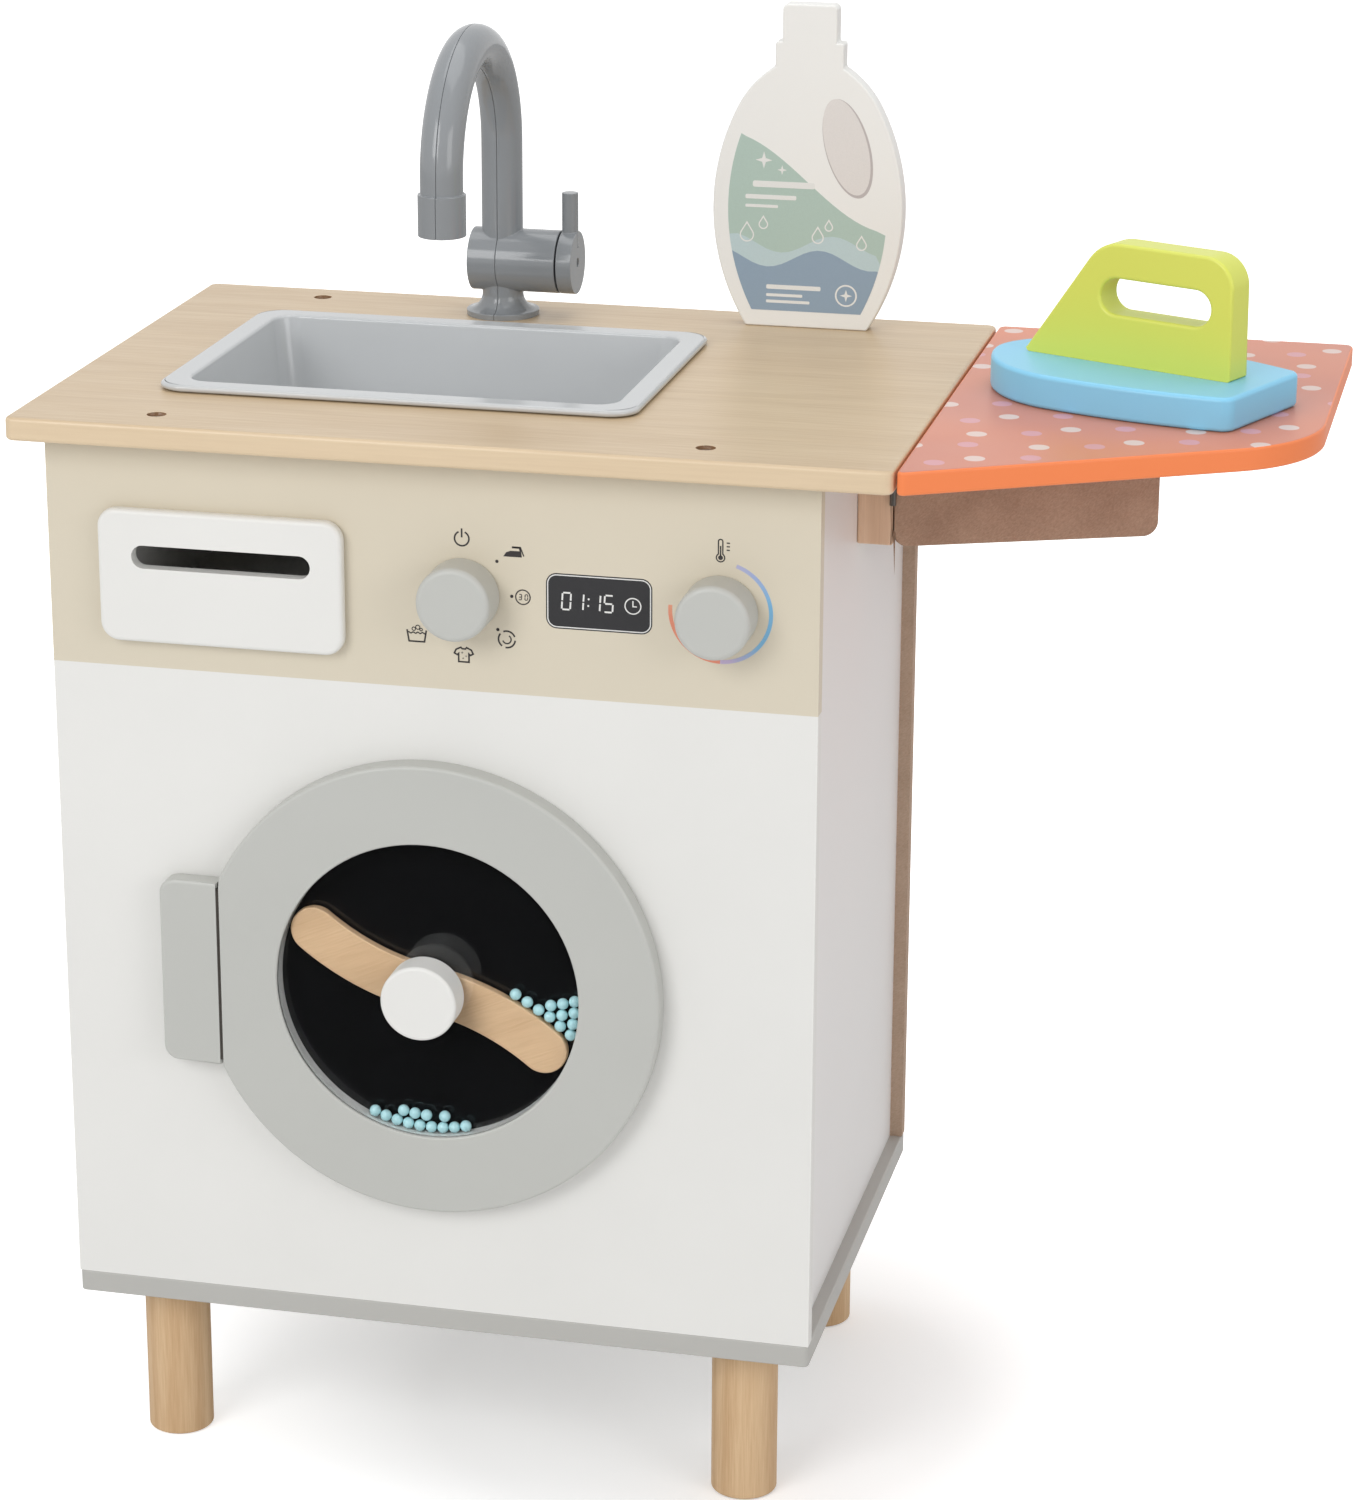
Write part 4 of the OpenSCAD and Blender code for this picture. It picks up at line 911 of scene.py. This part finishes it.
def thermometer_mark(ink, x, z):
    """Tube with a round bulb, its filling and three scale lines."""
    tube = [(-1.1, -2.2)] + arc(1.1, 180, 0, 8, (0, 4.4)) + [(1.1, -2.2)]
    ink.stroke(shifted(tube, (x, z)), FINE)
    ink.stroke(arc(2.1, 122, 418, 20, (x, z - 3.8)), FINE)
    ink.disc((x, z - 3.8), 1.2)
    ink.stroke([(x, z - 3), (x, z + 2.2)], 0.7)
    for dz in (0.2, 2.0, 3.8):
        ink.stroke([(x + 3.0, z + dz), (x + 4.6, z + dz)], FINE)


def make_programme_marks():
    """Signs and dots round the programme knob, and the temperature sign."""
    ink = on_front()
    power_mark(ink, 18.3, 525.4)
    iron_mark(ink, 44.4, 519.9)
    for p in ((36.2, 514.9), (43.7, 497.4), (36.4, 479.7)):
        ink.disc(p, 0.85)
    timer_mark(ink, 49.4, 497.3)
    spin_mark(ink, 41.0, 474.9)
    shirt_mark(ink, 18.7, 465.4)
    tub_mark(ink, -5.6, 474.1)
    thermometer_mark(ink, 149.3, 528.2)
    ink.finish("programme_marks", "ink_dark", "cabinet", "black_plastic")


def star(centre, size):
    """Four-pointed sparkle."""
    pts = []
    for i in range(8):
        r = size if i % 2 == 0 else size * 0.32
        a = math.radians(90 + 45 * i)
        pts.append((centre[0] + r * math.cos(a), centre[1] + r * math.sin(a)))
    return pts


# Scale colours by their share of a full turn round the temperature knob, warm to cool
SCALE_STOPS = (
    (0.22, (0.74, 0.22, 0.12)), (0.30, (0.80, 0.36, 0.20)), (0.53, (0.46, 0.42, 0.62)),
    (0.62, (0.30, 0.40, 0.68)), (0.72, (0.13, 0.42, 0.70)), (0.86, (0.16, 0.46, 0.74)),
    (0.97, (0.50, 0.40, 0.62)))


def arc_ink():
    """Scale colours that change with the angle round the temperature knob."""
    f = Finish("arc_ink", 0.4)
    t = f.tree
    centre = at(TEMPERATURE_X, 0, KNOB_Z)
    parts = add(t, "ShaderNodeSeparateXYZ", Vector=vector_node(t, "SUBTRACT", f.here, tuple(centre)))
    angle = math_node(t, "ARCTAN2", parts.outputs[0], parts.outputs[2])
    share = remap(t, angle, -math.pi, math.pi)
    ramp = t.nodes.new("ShaderNodeValToRGB")
    elements = ramp.color_ramp.elements
    while len(elements) < len(SCALE_STOPS):
        elements.new(0.5)
    for element, (place, color) in zip(elements, SCALE_STOPS):
        element.position = place
        element.color = rgb(color)
    plug(t, ramp.inputs[0], share)
    grain = noise(t, f.here, 3500.0, 2.0, 0.5)
    f.color(blend(t, math_node(t, "MULTIPLY", grain, 0.15), ramp.outputs[0], rgb((0.8, 0.78, 0.74))))
    return f


def make_temperature_arc():
    FINISH["arc_ink"] = arc_ink()
    ink = on_front()
    ink.stroke(arc(25.3, 72, -185, 90, (TEMPERATURE_X, KNOB_Z)), 2.0)
    ink.finish("temperature_scale", "arc_ink", "cabinet", "bead_plastic")


# Bottle: radius of its bowed sides, height of their widest point and half the width there.
# Label: its foot, its margin inside the sides and the half width its top curve is read to
BOTTLE_SIDE_R, BOTTLE_BELLY_Z, BOTTLE_HALF_W = 121.5, 64.5, 52.0
LABEL_FOOT, LABEL_MARGIN, LABEL_REACH, LABEL_STEP = 9, 8.5, 42, 4
LAYERS = (0.05, 0.08, 0.11, 0.14)


def bottle_half(z):
    """Half the bottle's width at a height."""
    rise = math.sqrt(BOTTLE_SIDE_R ** 2 - (z - BOTTLE_BELLY_Z) ** 2)
    return rise - (BOTTLE_SIDE_R - BOTTLE_HALF_W)


def label_outline(top):
    """Label that follows the bottle's sides with a margin, its top a given curve."""
    def edge(z):
        return bottle_half(z) - LABEL_MARGIN

    falling = [*range(int(top(-LABEL_REACH)), LABEL_FOOT, -LABEL_STEP), LABEL_FOOT]
    left = [(-edge(z), z) for z in falling]
    right = [(edge(z), z) for z in range(LABEL_FOOT, int(top(LABEL_REACH)), LABEL_STEP)]
    cap_x = [LABEL_REACH - LABEL_STEP * (i + 1) for i in range(20)]
    crown = [(x, top(x)) for x in cap_x if abs(x) < edge(top(x))]
    return left + right + crown


def oval(centre, half_w, half_h, lean, steps=48):
    """Ellipse with its long axis leaned to the right at the foot."""
    c, s = math.cos(math.radians(lean)), math.sin(math.radians(lean))
    turns = [2 * math.pi * i / steps for i in range(steps)]
    flat = [(half_w * math.cos(a), half_h * math.sin(a)) for a in turns]
    return [(centre[0] + x * c - y * s, centre[1] + x * s + y * c) for x, y in flat]


# Places and sizes of the label's bars (left end, height, length, thickness) and drops
# (centre, radius), across and up from the bottle's foot
LABEL_BARS = ((-30, 78, 34, 3.4), (-34, 71, 28, 2.4), (-34, 66, 18, 1.6),
              (-22, 22, 30, 2.4), (-22, 17.5, 20, 1.6), (-22, 14, 24, 1.6))
LABEL_DROPS = ((-33, 50, 3.6), (-24, 56, 2.3), (6, 50, 3.0), (12, 56, 2.0), (30, 47, 2.6))
LABEL_SEAL = (22, 19)
GRIP_LEAN = 16.0


def on_bottle():
    """Print on the bottle's front, across and up from the middle of its foot."""
    return Print(at(BOTTLE_X, BOTTLE_Y, WORKTOP_TOP), (1, 0, 0), (0, 0, 1), (0, -1, 0))


def label_area(name, finish, outline, lift):
    area = on_bottle()
    area.fill(outline, lift)
    area.finish(name, finish, "bottle", "white_paint")


def make_label():
    """Label in three tones with bars, drops and stars, and the printed grip above it."""
    base, middle, upper, marks_lift = LAYERS
    label_area("label_field", "ink_sage", label_outline(lambda x: 80.0 - 26.0 * math.sin(x / 30.0)), base)
    label_area("label_mist", "ink_mist", label_outline(lambda x: 46.0 + 5.0 * math.sin(x / 9.0)), middle)
    label_area("label_water", "ink_blue",
               label_outline(lambda x: 38.0 + 5.0 * math.sin(x / 9.0 + 0.8)), upper)
    marks = on_bottle()
    for x, z, length, thick in LABEL_BARS:
        bar = rounded_rect(length, thick, thick * 0.3, 3)
        marks.fill(shifted(bar, (x + length / 2, z)), marks_lift)
    for x, z, r in LABEL_DROPS:
        marks.stroke([(x, z + r * 1.9)] + arc(r, 150, 390, 18, (x, z)), 0.7, True, marks_lift)
    marks.fill(star((-24, 91), 4.6), marks_lift)
    marks.fill(star((-14, 86), 2.6), marks_lift)
    marks.stroke(arc(5.6, 0, 350, 35, LABEL_SEAL), 0.9, True, marks_lift)
    marks.fill(star(LABEL_SEAL, 3.4), marks_lift)
    marks.finish("label_marks", "ink_white", "bottle", "white_paint")
    label_area("label_grip_shade", "ink_shade_dark", oval((21.6, 99.0), 12.2, 27.4, GRIP_LEAN), base)
    label_area("label_grip", "ink_shade", oval((21.0, 99.8), 11.4, 26.6, GRIP_LEAN), middle)


# Putting the pieces together

def keep_node(node, finish):
    """Finish for a CAD node that stays as it is."""
    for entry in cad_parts[node].material_slots:
        entry.material = FINISH[finish].material


def dress_kept_nodes():
    """Finishes of all nodes that no piece replaces."""
    steel = ("worktop_screws", "base_screws", "leg_bolts", "door_magnet", "door_strike",
             "paddle_shaft", "paddle_washer", "programme_spindle", "temperature_spindle", "tap_screw")
    # The hinge leaves take the steel darkened as painted shade
    leaves = ("door_hinge_fixed_leaf", "door_hinge_moving_leaf", "bracket_hinge_fixed_leaf",
              "bracket_hinge_moving_leaf", "board_hinge_worktop_leaves", "board_hinge_board_leaves")
    white = ("drawer_left_side", "drawer_right_side", "drawer_back", "drawer_floor")
    single = {
        "left_side_panel": "side_paint", "right_side_panel": "side_paint", "back_panel": "back_board",
        "drawer_rails": "block_pine", "window_pane": "clear_plastic", "chamber_back": "black_gloss",
        "window_spacer": "spacer_plastic", "faucet_nut": "sink_plastic", "front_panel": "front_paint",
    }
    for finish, nodes in (("steel", steel), ("painted_shade_steel", leaves), ("white_paint", white)):
        for node in nodes:
            keep_node(node, finish)
    for node, finish in single.items():
        keep_node(node, finish)


HINGE_BLOCK_LEFT = -113.5


def make_boards():
    """Boards, knobs and loose toys with their sharp edges softened."""
    softened("worktop", 0, "worktop_foil", "cabinet", "maple_veneer")
    softened("base_panel", 0, "base_paint", "cabinet", "grey_paint")
    for leg in ("front_left_leg", "front_right_leg", "back_left_leg", "back_right_leg"):
        softened(leg, 0, "leg_pine", "cabinet", "pine")
    softened("bracket_block", 0.8, "block_pine", "cabinet", "pine")
    softened("support_bracket", 0.9, "bracket_board", "bracket", "raw_fibreboard")
    softened("door_hinge_block", 2.0, "grey_paint", "cabinet", "grey_paint",
             where=lambda p: p.x < HINGE_BLOCK_LEFT * MM)
    softened("door_ring", 0, "grey_paint", "door", "grey_paint")
    softened("paddle", 0.8, "paddle_beech", "paddle_wheel", "pine")
    softened("paddle_knob", 0, "white_paint", "paddle_wheel", "white_paint")
    softened("programme_knob", 0, "grey_paint", "programme_dial", "grey_paint")
    softened("temperature_knob", 0, "grey_paint", "temperature_dial", "grey_paint")
    softened("drawer_front", 0, "white_paint", "drawer", "white_paint")
    softened("ironing_board", 1.6, "board_paint", "board", "orange_paint")
    softened("iron_sole", 2.4, "iron_blue", "iron", "blue_paint")
    softened("iron_handle", 1.8, "iron_lime", "iron", "lime_paint",
             where=lambda p: p.z > HANDLE_FOOT * MM)
    softened("detergent_bottle", 1.0, "bottle_white", "bottle", "white_paint")


# Floor and light

def stage_plane(name, size, place):
    """Flat stage piece with an empty material, and that material's tree."""
    bpy.ops.mesh.primitive_plane_add(size=1.0, location=place)
    plane = bpy.context.object
    plane.name = name
    plane.scale = (*size, 1.0)
    material = bpy.data.materials.new(name)
    material.use_nodes = True
    material.node_tree.nodes.clear()
    plane.data.materials.append(material)
    return material.node_tree


def make_floor():
    """White floor that keeps the near shadow and glows to plain white farther off."""
    t = stage_plane("floor", (12.0, 12.0), (0, 0, -0.0005))
    out = t.nodes.new("ShaderNodeOutputMaterial")
    plain = add(t, "ShaderNodeBsdfDiffuse", Color=rgb((0.86, 0.86, 0.86)))
    glow = add(t, "ShaderNodeEmission", Color=rgb((1, 1, 1)))
    path = t.nodes.new("ShaderNodeLightPath")
    position = t.nodes.new("ShaderNodeNewGeometry").outputs["Position"]
    far = remap(t, vector_node(t, "LENGTH", position), 0.15, 0.5, 0.33, 1.0)
    plug(t, glow.inputs["Strength"], math_node(t, "MULTIPLY", path.outputs["Is Camera Ray"], far))
    both = t.nodes.new("ShaderNodeAddShader")
    t.links.new(plain.outputs[0], both.inputs[0])
    t.links.new(glow.outputs[0], both.inputs[1])
    t.links.new(both.outputs[0], out.inputs[0])


def make_dark_card():
    """Black card on the floor in front, seen only in reflections, that keeps the window dark."""
    t = stage_plane("dark_card", (2.2, 1.3), (0.0, -1.15, 0.001))
    out = t.nodes.new("ShaderNodeOutputMaterial")
    path = t.nodes.new("ShaderNodeLightPath")
    mix = t.nodes.new("ShaderNodeMixShader")
    plug(t, mix.inputs[0], path.outputs["Is Glossy Ray"])
    dark = add(t, "ShaderNodeBsdfDiffuse", Color=rgb((0.03, 0.03, 0.03)))
    clear = t.nodes.new("ShaderNodeBsdfTransparent")
    t.links.new(clear.outputs[0], mix.inputs[1])
    t.links.new(dark.outputs[0], mix.inputs[2])
    t.links.new(mix.outputs[0], out.inputs[0])


def make_world():
    """Plain white surroundings, white to the camera and in reflections, dimmer as light."""
    world = bpy.data.worlds.new("studio")
    bpy.context.scene.world = world
    world.use_nodes = True
    t = world.node_tree
    t.nodes.clear()
    out = t.nodes.new("ShaderNodeOutputWorld")
    path = t.nodes.new("ShaderNodeLightPath")
    seen = math_node(t, "MAXIMUM", path.outputs["Is Camera Ray"],
                     math_node(t, "MAXIMUM", path.outputs["Is Glossy Ray"],
                               path.outputs["Is Transmission Ray"]))
    strength = remap(t, seen, 0.0, 1.0, 0.55, 1.0)
    back = add(t, "ShaderNodeBackground", Color=rgb((1, 1, 1)), Strength=strength)
    t.links.new(back.outputs[0], out.inputs[0])


# Name, place, aim, size in metres and power in watts
LAMPS = (("key_softbox", (-1.2, -2.6, 1.9), (0, 0, 0.35), (1.6, 1.6), 36),
         ("top_softbox", (0.1, 0.3, 2.6), (0, 0, 0.4), (2.2, 1.6), 16),
         ("fill_softbox", (2.4, -1.6, 1.3), (0, 0, 0.3), (1.4, 1.4), 15))


def make_lamp(name, place, aim, size, power):
    """Soft rectangular lamp that looks at its aim."""
    data = bpy.data.lights.new(name, "AREA")
    data.shape = "RECTANGLE"
    data.size, data.size_y = size
    data.energy = power
    lamp = bpy.data.objects.new(name, data)
    bpy.context.scene.collection.objects.link(lamp)
    lamp.location = place
    lamp.rotation_mode = "QUATERNION"
    lamp.rotation_quaternion = (Vector(aim) - Vector(place)).to_track_quat("-Z", "Y")


make_camera()
dress_kept_nodes()
make_boards()
make_sink()
make_tap()
make_beads()
make_display()
make_programme_marks()
make_temperature_arc()
make_label()
make_floor()
make_dark_card()
make_world()
for lamp in LAMPS:
    make_lamp(*lamp)
bpy.context.scene.view_settings.view_transform = "Standard"
